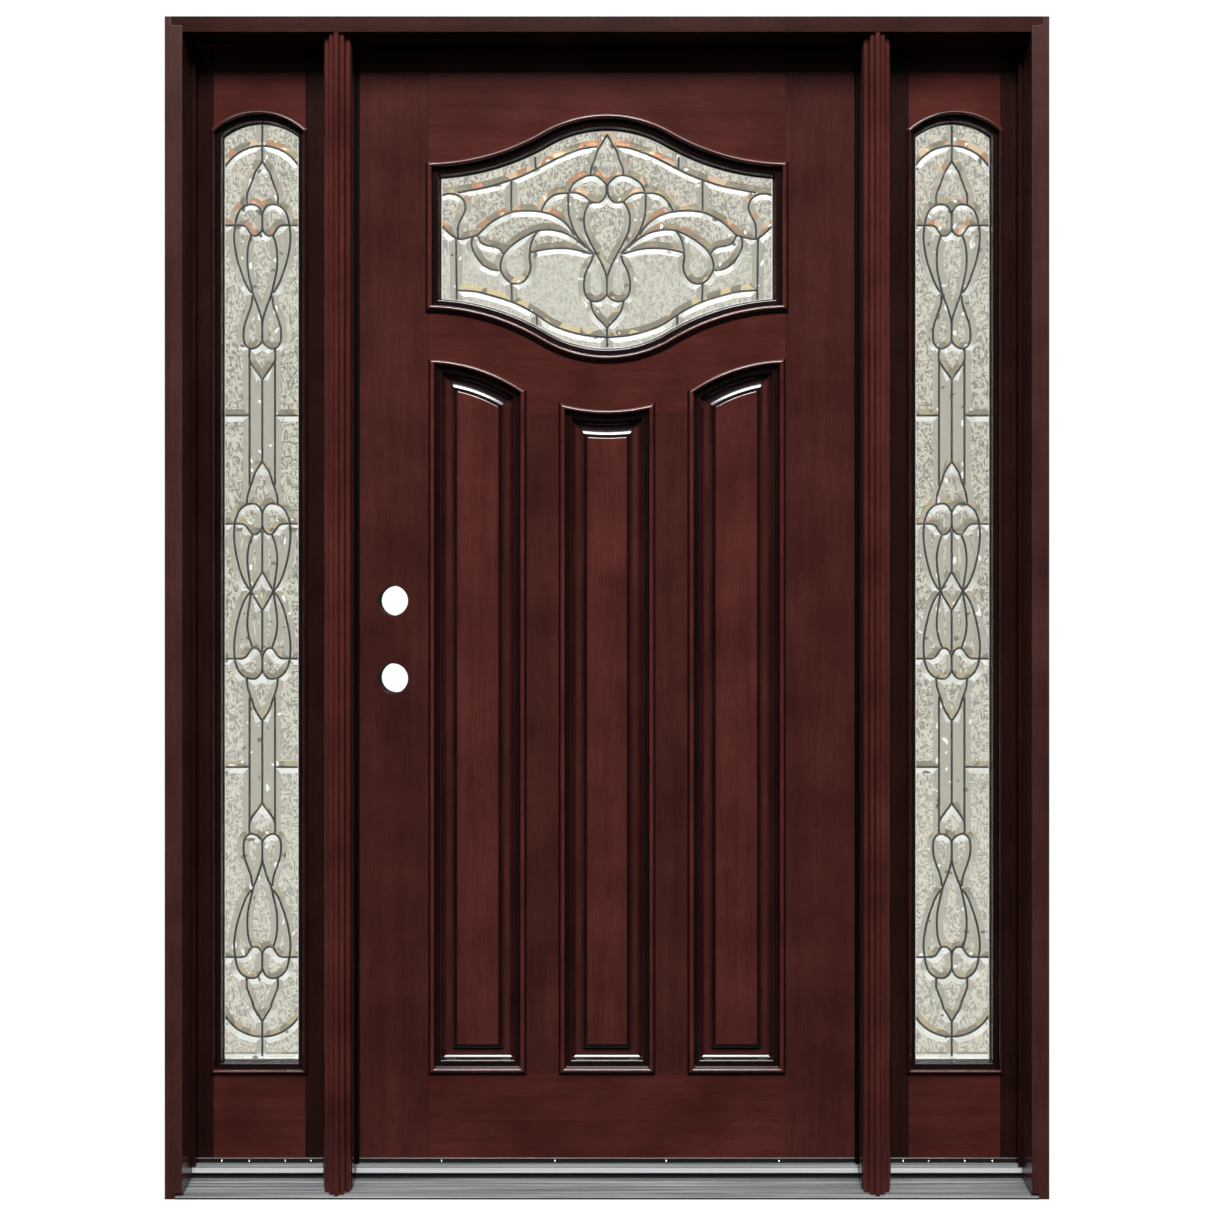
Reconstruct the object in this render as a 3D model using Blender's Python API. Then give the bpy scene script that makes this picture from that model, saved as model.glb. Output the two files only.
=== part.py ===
"""Entry door between two sidelights, in one mahogany frame on an aluminium sill.

Metres, +Z up. The outside faces -Y and the door swings inward, to +Y. Left and right are as seen
from the outside, with +X to the right. The origin is the middle of the sill's underside, at mid
depth of the frame.
"""
import math

import bmesh
import bpy
from mathutils import Matrix, Vector

# Clearance between two pieces that touch
SEAT = 0.0003

# Slabs: the door and the two fixed sidelights
SLAB_THICK = 0.04445
DOOR_WIDTH = 0.908
DOOR_HEIGHT = 2.0065
DOOR_CLEARANCE = 0.003
SIDELIGHT_WIDTH = 0.2315
SIDELIGHT_CLEARANCE = 0.002
STILE_WIDTH = 0.1332
BOTTOM_RAIL_HEIGHT = 0.1597

# Frame
FRAME_DEPTH = 0.116
JAMB_THICK = 0.0305
JAMB_EAR = 0.0114
HEAD_ABOVE_DOOR = 0.019
HEAD_TONGUE = 0.0152
HEAD_STOP = 0.0084
MULLION_WIDTH = 0.049
DOOR_STOP = 0.0085
SIDELIGHT_STOP = 0.0076
SIDELIGHT_TOP_STOP = 0.004
STOP_DEPTH = 0.0172
SEAL_DEPTH = 0.0092
SEAL_BULGE = 0.0042

# Reeded cover of each mullion
COVER_MARGIN = 0.00175
COVER_THICK = 0.021
COVER_CROWN = 0.013
REEDS_EACH_SIDE = 2
REED_HALF_ANGLE = math.radians(65)
REED_STEPS = 5

# Sill, risers under the slabs, and the shoe on each slab's foot
SILL_HEIGHT = 0.014
SILL_NOSE_HEIGHT = 0.004
SILL_IN_JAMB = 0.0125
RIB_COUNT = 8
RIB_HEIGHT = 0.0008
JAMB_FOOT_GAP = 0.0066
POST_FOOT_GAP = 0.003
RISER_HEIGHT = 0.0185
RISER_LIP_TOP = 0.0045
RISER_LIP_DEPTH = 0.0114
RISER_NOSE_DROP = 0.0142
RISER_REACH = 0.0136
RISER_RECESS = 0.008
RISER_BACK_INSET = 0.002
SHOE_PLATE = 0.0032
SHOE_FLANGE = 0.0012
SHOE_FLANGE_HEIGHT = 0.0125
SHOE_LIP = 0.001
SHOE_SWEEP_GAP = 0.0005

# Door lite: an ogee above and below, each of a crown arc that runs into two flank arcs
RAIL_OVER_LITE = 0.1222
LITE_HEIGHT = 0.4478
LITE_TOP_RISE = 0.0872
LITE_BOTTOM_RISE = 0.0904
LITE_CROWN_RADIUS = 0.235
LITE_MOULDING_LAP = 0.005
ARC_STEPS = 5

# Door panels: their tops run parallel to the lite's lower edge
PANEL_GAP = 0.083
CENTRE_PANEL_HALF = 0.087
MUNTIN_WIDTH = 0.057
MUNTIN_BELOW_PANEL_TOP = 0.01
PANEL_TOP_STEPS = 6

# Sidelight lite: a shallow arch above a straight foot
SIDE_LITE_HALF = 0.0875
RAIL_OVER_SIDE_LITE = 0.1173
SIDE_LITE_RADIUS = 0.126
SIDE_ARCH_STEPS = 10

# Mouldings, as insets from the outer edge and heights over the slab's face
MOULDING_WIDTH = 0.027
SIDE_MOULDING_WIDTH = 0.0205
FILLET_WIDTH = 0.0026
FILLET_HEIGHT = 0.0036
BEAD_CENTRE = 0.0067
BEAD_RADIUS = 0.0041
BEAD_CREST = 0.0076
COVE_START = 0.0125
COVE_TOP = 0.0008
COVE_MIDDLE = 0.0152
COVE_END = 0.0202
COVE_FLOOR = -0.0018
NOSE_END = 0.0236
NOSE_DROP = 0.0046
MOULDING_FOOT = 0.009

# Raised panels: a margin, a steep bevel, a riser, a narrow land and a step to the field
PANEL_THICK = 0.0199
PANEL_EDGE = 0.002
PANEL_MARGIN_END = 0.0375
PANEL_MARGIN_RISE = 0.0009
PANEL_BEVEL_END = 0.0449
PANEL_BEVEL_RISE = 0.006
PANEL_RISER_END = 0.0458
PANEL_RISER_RISE = 0.0081
PANEL_LAND_END = 0.0502
PANEL_LAND_RISE = 0.0089
PANEL_FIELD = 0.0535
PANEL_FIELD_DROP = 0.0015

# Sealed glass units
GLASS_THICK = 0.019
GLASS_CLEARANCE = 0.003

# Lock and bolt bores
BORE_DIAMETER = 0.054
BACKSET = 0.0698
LOCK_BORE_FROM_FOOT = 0.8692
BORE_SPACING = 0.1397
BORE_SIDES = 32

# Butt hinges
HINGE_HEIGHT = 0.1
HINGE_WIDTH = 0.036
HINGE_FROM_TOP = 0.178
HINGE_FROM_FOOT = 0.279
KNUCKLE_RADIUS = 0.006
KNUCKLE_PROUD = 0.0065
KNUCKLE_COUNT = 5
PIN_TIP = 0.004
PIN_RADIUS = 0.0042
HINGE_SIDES = 16

# Places that follow from the sizes above
FRONT = -FRAME_DEPTH / 2
BACK = FRAME_DEPTH / 2
SLAB_FRONT = BACK - SLAB_THICK
RABBET_FRONT = SLAB_FRONT - SEAL_DEPTH - SEAT
STOP_FRONT = SLAB_FRONT - SEAT - STOP_DEPTH

DOOR_HALF = DOOR_WIDTH / 2
POST_INNER = DOOR_HALF + DOOR_CLEARANCE
POST_OUTER = POST_INNER + MULLION_WIDTH
NOSE_INNER = POST_INNER - DOOR_STOP
NOSE_OUTER = POST_OUTER - SIDELIGHT_STOP
SEAL_INNER = NOSE_INNER - SEAL_BULGE
SIDE_INNER = POST_OUTER + SIDELIGHT_CLEARANCE
SIDE_OUTER = SIDE_INNER + SIDELIGHT_WIDTH
SIDE_CENTRE = (SIDE_INNER + SIDE_OUTER) / 2
JAMB_INNER = SIDE_OUTER + SIDELIGHT_CLEARANCE
JAMB_OUTER = JAMB_INNER + JAMB_THICK
SILL_HALF = JAMB_INNER + SILL_IN_JAMB

RISER_TOP = SILL_HEIGHT + RISER_HEIGHT
RISER_FRONT = SLAB_FRONT - RISER_REACH
LIP_TOP = RISER_TOP + RISER_LIP_TOP
SHOE_BOTTOM = RISER_TOP + SHOE_SWEEP_GAP
SLAB_BOTTOM = SHOE_BOTTOM + SHOE_PLATE + SEAT
SLAB_TOP = SLAB_BOTTOM + DOOR_HEIGHT
RABBET_TOP = SLAB_TOP + DOOR_CLEARANCE
FRAME_TOP = RABBET_TOP + HEAD_ABOVE_DOOR
HEAD_UNDERSIDE = RABBET_TOP - HEAD_STOP

STILE_INNER = DOOR_HALF - STILE_WIDTH
LITE_HALF = STILE_INNER + LITE_MOULDING_LAP
LITE_TOP_CREST = SLAB_TOP - RAIL_OVER_LITE
LITE_BOTTOM_CREST = LITE_TOP_CREST - LITE_HEIGHT
SIDE_LITE_CREST = SLAB_TOP - RAIL_OVER_SIDE_LITE
MUNTIN_TOP = LITE_BOTTOM_CREST - PANEL_GAP - MUNTIN_BELOW_PANEL_TOP
RAIL_TOP = SLAB_BOTTOM + BOTTOM_RAIL_HEIGHT
MUNTIN_OUTER = CENTRE_PANEL_HALF + MUNTIN_WIDTH
GLASS_RECESS = (SLAB_THICK - GLASS_THICK) / 2
PANEL_RECESS = (SLAB_THICK - PANEL_THICK) / 2
LOCK_BORE_HEIGHT = SLAB_BOTTOM + LOCK_BORE_FROM_FOOT
LEAF_THICK = (DOOR_CLEARANCE - 3 * SEAT) / 2

HINGE_AXIS = Vector((DOOR_HALF + DOOR_CLEARANCE / 2, BACK + KNUCKLE_PROUD, 0.0))

PLAN_VIEW = Matrix.Identity(4)
FRONT_VIEW = Matrix(((1, 0, 0, 0), (0, 0, -1, 0), (0, 1, 0, 0), (0, 0, 0, 1)))
SIDE_VIEW = Matrix(((0, 0, 1, 0), (1, 0, 0, 0), (0, 1, 0, 0), (0, 0, 0, 1)))


def clear_scene():
    """Remove the objects that the scene starts with."""
    for obj in list(bpy.data.objects):
        bpy.data.objects.remove(obj, do_unlink=True)


def new_collection(name):
    collection = bpy.data.collections.new(name)
    bpy.context.scene.collection.children.link(collection)
    return collection


def new_material(name, colour, roughness, metallic=0.0, transmission=0.0):
    material = bpy.data.materials.new(name)
    material.use_nodes = True
    shader = material.node_tree.nodes["Principled BSDF"]
    shader.inputs["Base Color"].default_value = (*colour, 1.0)
    shader.inputs["Roughness"].default_value = roughness
    shader.inputs["Metallic"].default_value = metallic
    shader.inputs["Transmission Weight"].default_value = transmission
    return material


def finish(obj, material, parent=None):
    """Put an object in the model with its material, and under its pivot if it moves."""
    if obj.name not in MODEL.objects:
        MODEL.objects.link(obj)
    obj.data.materials.append(material)
    if parent is not None:
        obj.parent = parent
        obj.matrix_parent_inverse = Matrix.Translation(-parent.location)
    return obj


def box(name, x_range, y_range, z_range, material, parent=None):
    """A board with square edges between two places on each axis."""
    ranges = (x_range, y_range, z_range)
    sizes = [max(pair) - min(pair) for pair in ranges]
    centre = [sum(pair) / 2 for pair in ranges]
    mesh = bpy.data.meshes.new(name)
    shape = bmesh.new()
    bmesh.ops.create_cube(shape, size=1.0, matrix=Matrix.Diagonal((*sizes, 1.0)))
    shape.to_mesh(mesh)
    shape.free()
    obj = bpy.data.objects.new(name, mesh)
    obj.location = centre
    return finish(obj, material, parent)


def flat_piece(name, outline, view, along, material, parent=None):
    """A flat outline, extruded between two places along the axis that its view looks down."""
    mesh = bpy.data.meshes.new(name)
    shape = bmesh.new()
    face = shape.faces.new([shape.verts.new((across, up, along[0])) for across, up in outline])
    grown = bmesh.ops.extrude_face_region(shape, geom=[face])
    moved = [item for item in grown["geom"] if isinstance(item, bmesh.types.BMVert)]
    bmesh.ops.translate(shape, vec=(0.0, 0.0, along[1] - along[0]), verts=moved)
    bmesh.ops.recalc_face_normals(shape, faces=shape.faces)
    shape.to_mesh(mesh)
    shape.free()
    obj = bpy.data.objects.new(name, mesh)
    obj.matrix_world = view
    return finish(obj, material, parent)


def keep_as_cutter(obj):
    """Leave an object in the file as a cutting tool only."""
    obj.hide_render = True
    obj.display_type = "WIRE"
    for collection in list(obj.users_collection):
        collection.objects.unlink(obj)
    CUTTERS.objects.link(obj)
    return obj


def combine(obj, tool, operation):
    modifier = obj.modifiers.new(f"{operation.title()} {tool.name}", "BOOLEAN")
    modifier.operation = operation
    modifier.object = keep_as_cutter(tool)
    modifier.solver = "EXACT"


def cylinder(name, centre, radius, length, sides, turned=Matrix.Identity(4)):
    """A round tool or knuckle, upright unless it is turned."""
    mesh = bpy.data.meshes.new(name)
    shape = bmesh.new()
    bmesh.ops.create_cone(shape, cap_ends=True, segments=sides, radius1=radius, radius2=radius,
                          depth=length)
    shape.to_mesh(mesh)
    shape.free()
    obj = bpy.data.objects.new(name, mesh)
    obj.matrix_world = Matrix.Translation(centre) @ turned
    MODEL.objects.link(obj)
    return obj


def loft(name, outline, section, closed, material, parent=None):
    """Rings of one outline at each inset and depth of a section, joined one to the next.

    A closed section makes a frame of moulding. An open one makes a panel with flat faces.
    """
    mesh = bpy.data.meshes.new(name)
    shape = bmesh.new()
    rings = []
    for inset, depth in section:
        rings.append([shape.verts.new((x, depth, z)) for x, z in outline(inset)])
    pairs = list(zip(rings, rings[1:]))
    if closed:
        pairs.append((rings[-1], rings[0]))
    for near, far in pairs:
        for index in range(len(near)):
            after = (index + 1) % len(near)
            shape.faces.new((near[index], near[after], far[after], far[index]))
    if not closed:
        shape.faces.new(rings[0])
        shape.faces.new(rings[-1])
    bmesh.ops.recalc_face_normals(shape, faces=shape.faces)
    shape.to_mesh(mesh)
    shape.free()
    return finish(bpy.data.objects.new(name, mesh), material, parent)


def arc_points(centre, radius, start, end, steps):
    """Points on a circle's arc between two angles, counted from +X towards +Z."""
    points = []
    for step in range(steps + 1):
        angle = start + (end - start) * step / steps
        points.append((centre[0] + radius * math.cos(angle), centre[1] + radius * math.sin(angle)))
    return points


def flank_radius(rise):
    """Radius of the flank arcs that join a crown of the lite to its corners without a kink."""
    return (LITE_HALF ** 2 + rise ** 2) / (2 * rise) - LITE_CROWN_RADIUS


def ogee_half(rise, inset):
    """Half of the lite's ogee from the crest to a corner, as pairs of distance and drop."""
    flank = flank_radius(rise)
    turn = math.asin(LITE_HALF / (flank + LITE_CROWN_RADIUS))
    corner_turn = math.asin(inset / (flank + inset))
    crown = LITE_CROWN_RADIUS - inset
    points = []
    for step in range(ARC_STEPS):
        angle = turn * step / ARC_STEPS
        points.append((crown * math.sin(angle), LITE_CROWN_RADIUS - crown * math.cos(angle)))
    for step in range(ARC_STEPS + 1):
        angle = turn + (corner_turn - turn) * step / ARC_STEPS
        across = LITE_HALF - (flank + inset) * math.sin(angle)
        points.append((across, rise - flank + (flank + inset) * math.cos(angle)))
    return points


def ogee(rise, inset):
    """The whole ogee from the left corner to the right one, as pairs of place and drop."""
    half = ogee_half(rise, inset)
    return [(-across, drop) for across, drop in reversed(half)] + half[1:]


def lite_top(inset):
    return [(x, LITE_TOP_CREST - drop) for x, drop in ogee(LITE_TOP_RISE, inset)]


def lite_bottom(inset):
    return [(x, LITE_BOTTOM_CREST + drop) for x, drop in ogee(LITE_BOTTOM_RISE, inset)]


def lite_outline(inset):
    return lite_top(inset) + lite_bottom(inset)[::-1]


def side_panel_top(side, inset):
    """Top edge of an outer panel, from the stile to the muntin."""
    flank = flank_radius(LITE_BOTTOM_RISE)
    centre = LITE_BOTTOM_CREST + LITE_BOTTOM_RISE - flank
    radius = flank - PANEL_GAP - inset
    start = math.acos((LITE_HALF - STILE_INNER + inset) / radius)
    end = math.acos((LITE_HALF - MUNTIN_OUTER - inset) / radius)
    points = arc_points((0.0, centre), radius, start, end, PANEL_TOP_STEPS)
    return [(side * (LITE_HALF - x), z) for x, z in points]


def side_panel_outline(side):
    def outline(inset):
        foot = RAIL_TOP + inset
        top = side_panel_top(side, inset)
        return top + [(side * (MUNTIN_OUTER + inset), foot), (side * (STILE_INNER - inset), foot)]
    return outline


def centre_panel_top(inset):
    """Top edge of the middle panel, which dips under the lite's lowest point."""
    radius = LITE_CROWN_RADIUS + PANEL_GAP + inset
    half = math.asin((CENTRE_PANEL_HALF - inset) / radius)
    centre = (0.0, LITE_BOTTOM_CREST + LITE_CROWN_RADIUS)
    down = -math.pi / 2
    return arc_points(centre, radius, down - half, down + half, PANEL_TOP_STEPS)


def centre_panel_outline(inset):
    half = CENTRE_PANEL_HALF - inset
    foot = RAIL_TOP + inset
    return centre_panel_top(inset) + [(half, foot), (-half, foot)]


def side_lite_arch(side, inset):
    """Arch of a sidelight's glazing, from its right shoulder to its left one."""
    radius = SIDE_LITE_RADIUS - inset
    half = math.asin((SIDE_LITE_HALF - inset) / radius)
    centre = (side * SIDE_CENTRE, SIDE_LITE_CREST - SIDE_LITE_RADIUS)
    up = math.pi / 2
    return arc_points(centre, radius, up - half, up + half, SIDE_ARCH_STEPS)


def side_lite_outline(side):
    def outline(inset):
        half = SIDE_LITE_HALF - inset
        foot = RAIL_TOP + inset
        middle = side * SIDE_CENTRE
        return side_lite_arch(side, inset) + [(middle - half, foot), (middle + half, foot)]
    return outline


def moulding_face(width):
    """Show face of a moulding: a fillet, a bead, a cove with a rounded nose, and a drop inward."""
    share = width / MOULDING_WIDTH
    half = 0.7 * BEAD_RADIUS
    shoulder = FILLET_HEIGHT + 0.7 * (BEAD_CREST - FILLET_HEIGHT)
    face = [(0.0, FILLET_HEIGHT), (FILLET_WIDTH, FILLET_HEIGHT), (BEAD_CENTRE - half, shoulder),
            (BEAD_CENTRE, BEAD_CREST), (BEAD_CENTRE + half, shoulder),
            (BEAD_CENTRE + BEAD_RADIUS, FILLET_HEIGHT), (COVE_START, COVE_TOP),
            (COVE_MIDDLE, COVE_FLOOR / 2), (COVE_END, COVE_FLOOR), (NOSE_END, -NOSE_DROP),
            (MOULDING_WIDTH, -MOULDING_FOOT)]
    return [(inset * share, height) for inset, height in face]


def lapped_section(width, recess):
    """Lite moulding: its bead laps the wood, and its foot stands in the opening on the glass."""
    foot = -recess + SEAT
    inner = LITE_MOULDING_LAP + SEAT
    return moulding_face(width) + [(width, foot), (inner, foot), (inner, SEAT), (0.0, SEAT)]


def seated_section(recess):
    """Panel moulding: it stands in the opening, against the panel's margin."""
    foot = -recess + SEAT
    face = [(max(inset, SEAT), height) for inset, height in moulding_face(MOULDING_WIDTH)]
    return face + [(MOULDING_WIDTH, foot), (SEAT, foot)]


def on_front(section):
    return [(inset, SLAB_FRONT - height) for inset, height in section]


def on_back(section):
    return [(inset, BACK + height) for inset, height in section]


def panel_section():
    """A panel raised on both faces, from the middle of its front to the middle of its back."""
    margin = -PANEL_RECESS
    face = [(PANEL_FIELD, -PANEL_FIELD_DROP), (PANEL_LAND_END, margin + PANEL_LAND_RISE),
            (PANEL_RISER_END, margin + PANEL_RISER_RISE),
            (PANEL_BEVEL_END, margin + PANEL_BEVEL_RISE),
            (PANEL_MARGIN_END, margin + PANEL_MARGIN_RISE), (MOULDING_WIDTH, margin),
            (PANEL_EDGE, margin)]
    return on_front(face) + on_back(face)[::-1]


def glass_section():
    edge = LITE_MOULDING_LAP + GLASS_CLEARANCE
    return [(edge, SLAB_FRONT + GLASS_RECESS), (edge, BACK - GLASS_RECESS)]


def sill_line(y, rise):
    """Height of the sloping deck at a depth, with an allowance above it."""
    share = (y - FRONT) / (RISER_FRONT - FRONT)
    return SILL_NOSE_HEIGHT + (SILL_HEIGHT - SILL_NOSE_HEIGHT) * min(share, 1.0) + rise


def sill_profile():
    """Section of the sill: a ribbed deck that sheds water to the front, flat under the risers."""
    pitch = (RISER_FRONT - FRONT) / (RIB_COUNT + 1)
    points = [(FRONT, 0.0), (FRONT, sill_line(FRONT, 0.0))]
    for rib in range(1, RIB_COUNT + 1):
        middle = FRONT + rib * pitch
        for shift, rise in ((-0.3, 0.0), (-0.15, RIB_HEIGHT), (0.15, RIB_HEIGHT), (0.3, 0.0)):
            y = middle + shift * pitch
            points.append((y, sill_line(y, rise)))
    return points + [(RISER_FRONT, SILL_HEIGHT), (BACK, SILL_HEIGHT), (BACK, 0.0)]


def sill_cutter(name, front_gap):
    """Room for the sill under a jamb or a post, with more clearance at its thin front."""
    clear = RIB_HEIGHT + SEAT
    front = FRONT - SILL_HEIGHT
    back = BACK + SILL_HEIGHT
    nose = SILL_NOSE_HEIGHT + front_gap
    outline = [(front, -SILL_HEIGHT), (front, nose), (FRONT, nose),
               (RISER_FRONT, SILL_HEIGHT + clear), (back, SILL_HEIGHT + clear),
               (back, -SILL_HEIGHT)]
    half = SILL_HALF + SEAT
    return flat_piece(name, outline, SIDE_VIEW, (-half, half), WOOD)


def riser_profile():
    """Section of a riser: a rounded bar over a recess, with a flat bed behind it."""
    nose = LIP_TOP - RISER_NOSE_DROP
    radius = RISER_LIP_TOP
    round_edge = arc_points((RISER_FRONT + radius, LIP_TOP - radius), radius, math.pi, math.pi / 2,
                            ARC_STEPS)
    lip_back = RISER_FRONT + RISER_LIP_DEPTH
    web = RISER_FRONT + RISER_RECESS
    foot = SILL_HEIGHT + SEAT
    back = BACK - RISER_BACK_INSET
    return [(RISER_FRONT, nose)] + round_edge + [
        (lip_back, LIP_TOP), (lip_back, RISER_TOP), (back, RISER_TOP), (back, foot), (web, foot),
        (web, nose)]


def shoe_profile():
    """Section of a shoe: a plate under the slab and a screwed flange with a small lip."""
    flange_back = SLAB_FRONT - SEAT
    flange_front = flange_back - SHOE_FLANGE
    plate_top = SHOE_BOTTOM + SHOE_PLATE
    top = SHOE_BOTTOM + SHOE_FLANGE_HEIGHT
    lip = top - SHOE_LIP
    return [(flange_front, SHOE_BOTTOM), (flange_front, lip - SHOE_LIP),
            (flange_front - SHOE_LIP, lip), (flange_front - SHOE_LIP, top), (flange_back, top),
            (flange_back, plate_top), (BACK - SHOE_LIP, plate_top), (BACK - SHOE_LIP, SHOE_BOTTOM)]


def cover_profile(side):
    """Section of a mullion cover: reeds that step back from the middle one."""
    low = NOSE_INNER + COVER_MARGIN
    high = NOSE_OUTER - COVER_MARGIN
    back = FRONT + COVER_THICK
    count = 2 * REEDS_EACH_SIDE + 1
    radius = (high - low) / (2 * count)
    points = [(low, back)]
    for reed in range(-REEDS_EACH_SIDE, REEDS_EACH_SIDE + 1):
        drop = COVER_CROWN * (abs(reed) / REEDS_EACH_SIDE) ** 1.5
        centre = ((low + high) / 2 + 2 * radius * reed, FRONT + radius + drop)
        crest = -math.pi / 2
        points += arc_points(centre, radius, crest - REED_HALF_ANGLE, crest + REED_HALF_ANGLE,
                             REED_STEPS)
    points.append((high, back))
    return [(side * x, y) for x, y in points]


def post_profile(side):
    """Section of a mullion post, with the door's stop on one side and the sidelight's on the other."""
    front = FRONT + COVER_THICK + SEAT
    outline = [(NOSE_INNER, front), (NOSE_OUTER, front), (NOSE_OUTER, STOP_FRONT),
               (POST_OUTER, STOP_FRONT), (POST_OUTER, BACK), (POST_INNER, BACK),
               (POST_INNER, RABBET_FRONT), (NOSE_INNER, RABBET_FRONT)]
    return [(side * x, y) for x, y in outline]


def make_frame():
    """Jambs, head, mullions, stops, seal and sill."""
    jamb_room = sill_cutter("jamb_foot_room", JAMB_FOOT_GAP)
    post_room = sill_cutter("post_foot_room", POST_FOOT_GAP)
    for side, hand in SIDES:
        ear = JAMB_OUTER - JAMB_EAR
        shoulder = FRAME_TOP - HEAD_TONGUE - SEAT
        outline = [(JAMB_INNER, 0.0), (JAMB_OUTER, 0.0), (JAMB_OUTER, FRAME_TOP), (ear, FRAME_TOP),
                   (ear, shoulder), (JAMB_INNER, shoulder)]
        outline = [(side * x, z) for x, z in outline]
        jamb = flat_piece(f"jamb_{hand}", outline, FRONT_VIEW, (-BACK, -FRONT), WOOD)
        combine(jamb, jamb_room, "DIFFERENCE")

        foot = -SILL_HEIGHT / 2
        post_top = HEAD_UNDERSIDE - SEAT
        for name, profile in (("mullion_post", post_profile(side)),
                              ("mullion_cover", cover_profile(side))):
            upright = flat_piece(f"{name}_{hand}", profile, PLAN_VIEW, (foot, post_top), WOOD)
            combine(upright, post_room, "DIFFERENCE")

        stop_back = SLAB_FRONT - SEAT
        stop_depth = (STOP_FRONT, stop_back)
        stop_foot = LIP_TOP + SEAT
        stop_inner = side * (JAMB_INNER - SIDELIGHT_STOP)
        box(f"sidelight_stop_side_{hand}", (stop_inner, side * (JAMB_INNER - SEAT)), stop_depth,
            (stop_foot, post_top), WOOD)
        top_range = (side * (POST_OUTER + SEAT), stop_inner - side * SEAT)
        box(f"sidelight_stop_top_{hand}", top_range, stop_depth,
            (HEAD_UNDERSIDE - SIDELIGHT_TOP_STOP, post_top), WOOD)

    tongue_end = JAMB_OUTER - JAMB_EAR - SEAT
    shoulder_end = JAMB_INNER - SEAT
    tongue_foot = FRAME_TOP - HEAD_TONGUE
    outline = [(-shoulder_end, HEAD_UNDERSIDE), (shoulder_end, HEAD_UNDERSIDE),
               (shoulder_end, tongue_foot), (tongue_end, tongue_foot), (tongue_end, FRAME_TOP),
               (-tongue_end, FRAME_TOP), (-tongue_end, tongue_foot), (-shoulder_end, tongue_foot)]
    head = flat_piece("head_jamb", outline, FRONT_VIEW, (-BACK, -FRONT), WOOD)
    rabbet = box("head_rabbet", (-JAMB_OUTER, JAMB_OUTER), (RABBET_FRONT, BACK + HEAD_STOP),
                 (HEAD_UNDERSIDE - HEAD_STOP, RABBET_TOP), WOOD)
    combine(head, rabbet, "DIFFERENCE")

    seal_outer = POST_INNER - SEAT
    seal_top = RABBET_TOP - SEAT
    seal_under = HEAD_UNDERSIDE - SEAL_BULGE
    seal_foot = LIP_TOP + SEAT
    outline = [(-seal_outer, seal_foot), (-SEAL_INNER, seal_foot), (-SEAL_INNER, seal_under),
               (SEAL_INNER, seal_under), (SEAL_INNER, seal_foot), (seal_outer, seal_foot),
               (seal_outer, seal_top), (-seal_outer, seal_top)]
    seal_back = SLAB_FRONT - SEAT
    flat_piece("weatherstrip", outline, FRONT_VIEW, (-seal_back, SEAL_DEPTH - seal_back), RUBBER)

    flat_piece("sill", sill_profile(), SIDE_VIEW, (-SILL_HALF, SILL_HALF), MILL_ALUMINIUM)
    door_end = NOSE_INNER - SEAT
    flat_piece("riser_door", riser_profile(), SIDE_VIEW, (-door_end, door_end), BRIGHT_ALUMINIUM)
    for side, hand in SIDES:
        ends = sorted((side * (POST_OUTER + SEAT), side * (JAMB_INNER - SEAT)))
        flat_piece(f"riser_sidelight_{hand}", riser_profile(), SIDE_VIEW, ends, BRIGHT_ALUMINIUM)


def make_sidelight(side, hand):
    """One fixed slab with an arched lite."""
    depth = (SLAB_FRONT, BACK)
    height = (SLAB_BOTTOM, SLAB_TOP)
    outline = side_lite_outline(side)
    opening = SIDE_LITE_HALF - LITE_MOULDING_LAP
    inner = SIDE_CENTRE - opening
    outer = SIDE_CENTRE + opening
    box(f"sidelight_{hand}_stile_inner", (side * SIDE_INNER, side * inner), depth, height, WOOD)
    box(f"sidelight_{hand}_stile_outer", (side * outer, side * SIDE_OUTER), depth, height, WOOD)

    ends = (side * SIDE_CENTRE - opening + SEAT, side * SIDE_CENTRE + opening - SEAT)
    box(f"sidelight_{hand}_bottom_rail", ends, depth,
        (SLAB_BOTTOM, RAIL_TOP + LITE_MOULDING_LAP), WOOD)
    arch = [(min(max(x, ends[0]), ends[1]), z) for x, z in side_lite_arch(side, LITE_MOULDING_LAP)]
    top = arch + [(ends[0], SLAB_TOP), (ends[1], SLAB_TOP)]
    flat_piece(f"sidelight_{hand}_top_rail", top, FRONT_VIEW, (-BACK, -SLAB_FRONT), WOOD)

    section = lapped_section(SIDE_MOULDING_WIDTH, GLASS_RECESS)
    loft(f"sidelight_{hand}_moulding_front", outline, on_front(section), True, WOOD)
    loft(f"sidelight_{hand}_moulding_back", outline, on_back(section), True, WOOD)
    loft(f"sidelight_{hand}_glass", outline, glass_section(), False, GLASS)

    shoe_ends = sorted((side * SIDE_INNER, side * (JAMB_INNER - SIDELIGHT_STOP - SEAT)))
    flat_piece(f"sidelight_{hand}_shoe", shoe_profile(), SIDE_VIEW, shoe_ends, BRONZE)


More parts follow.
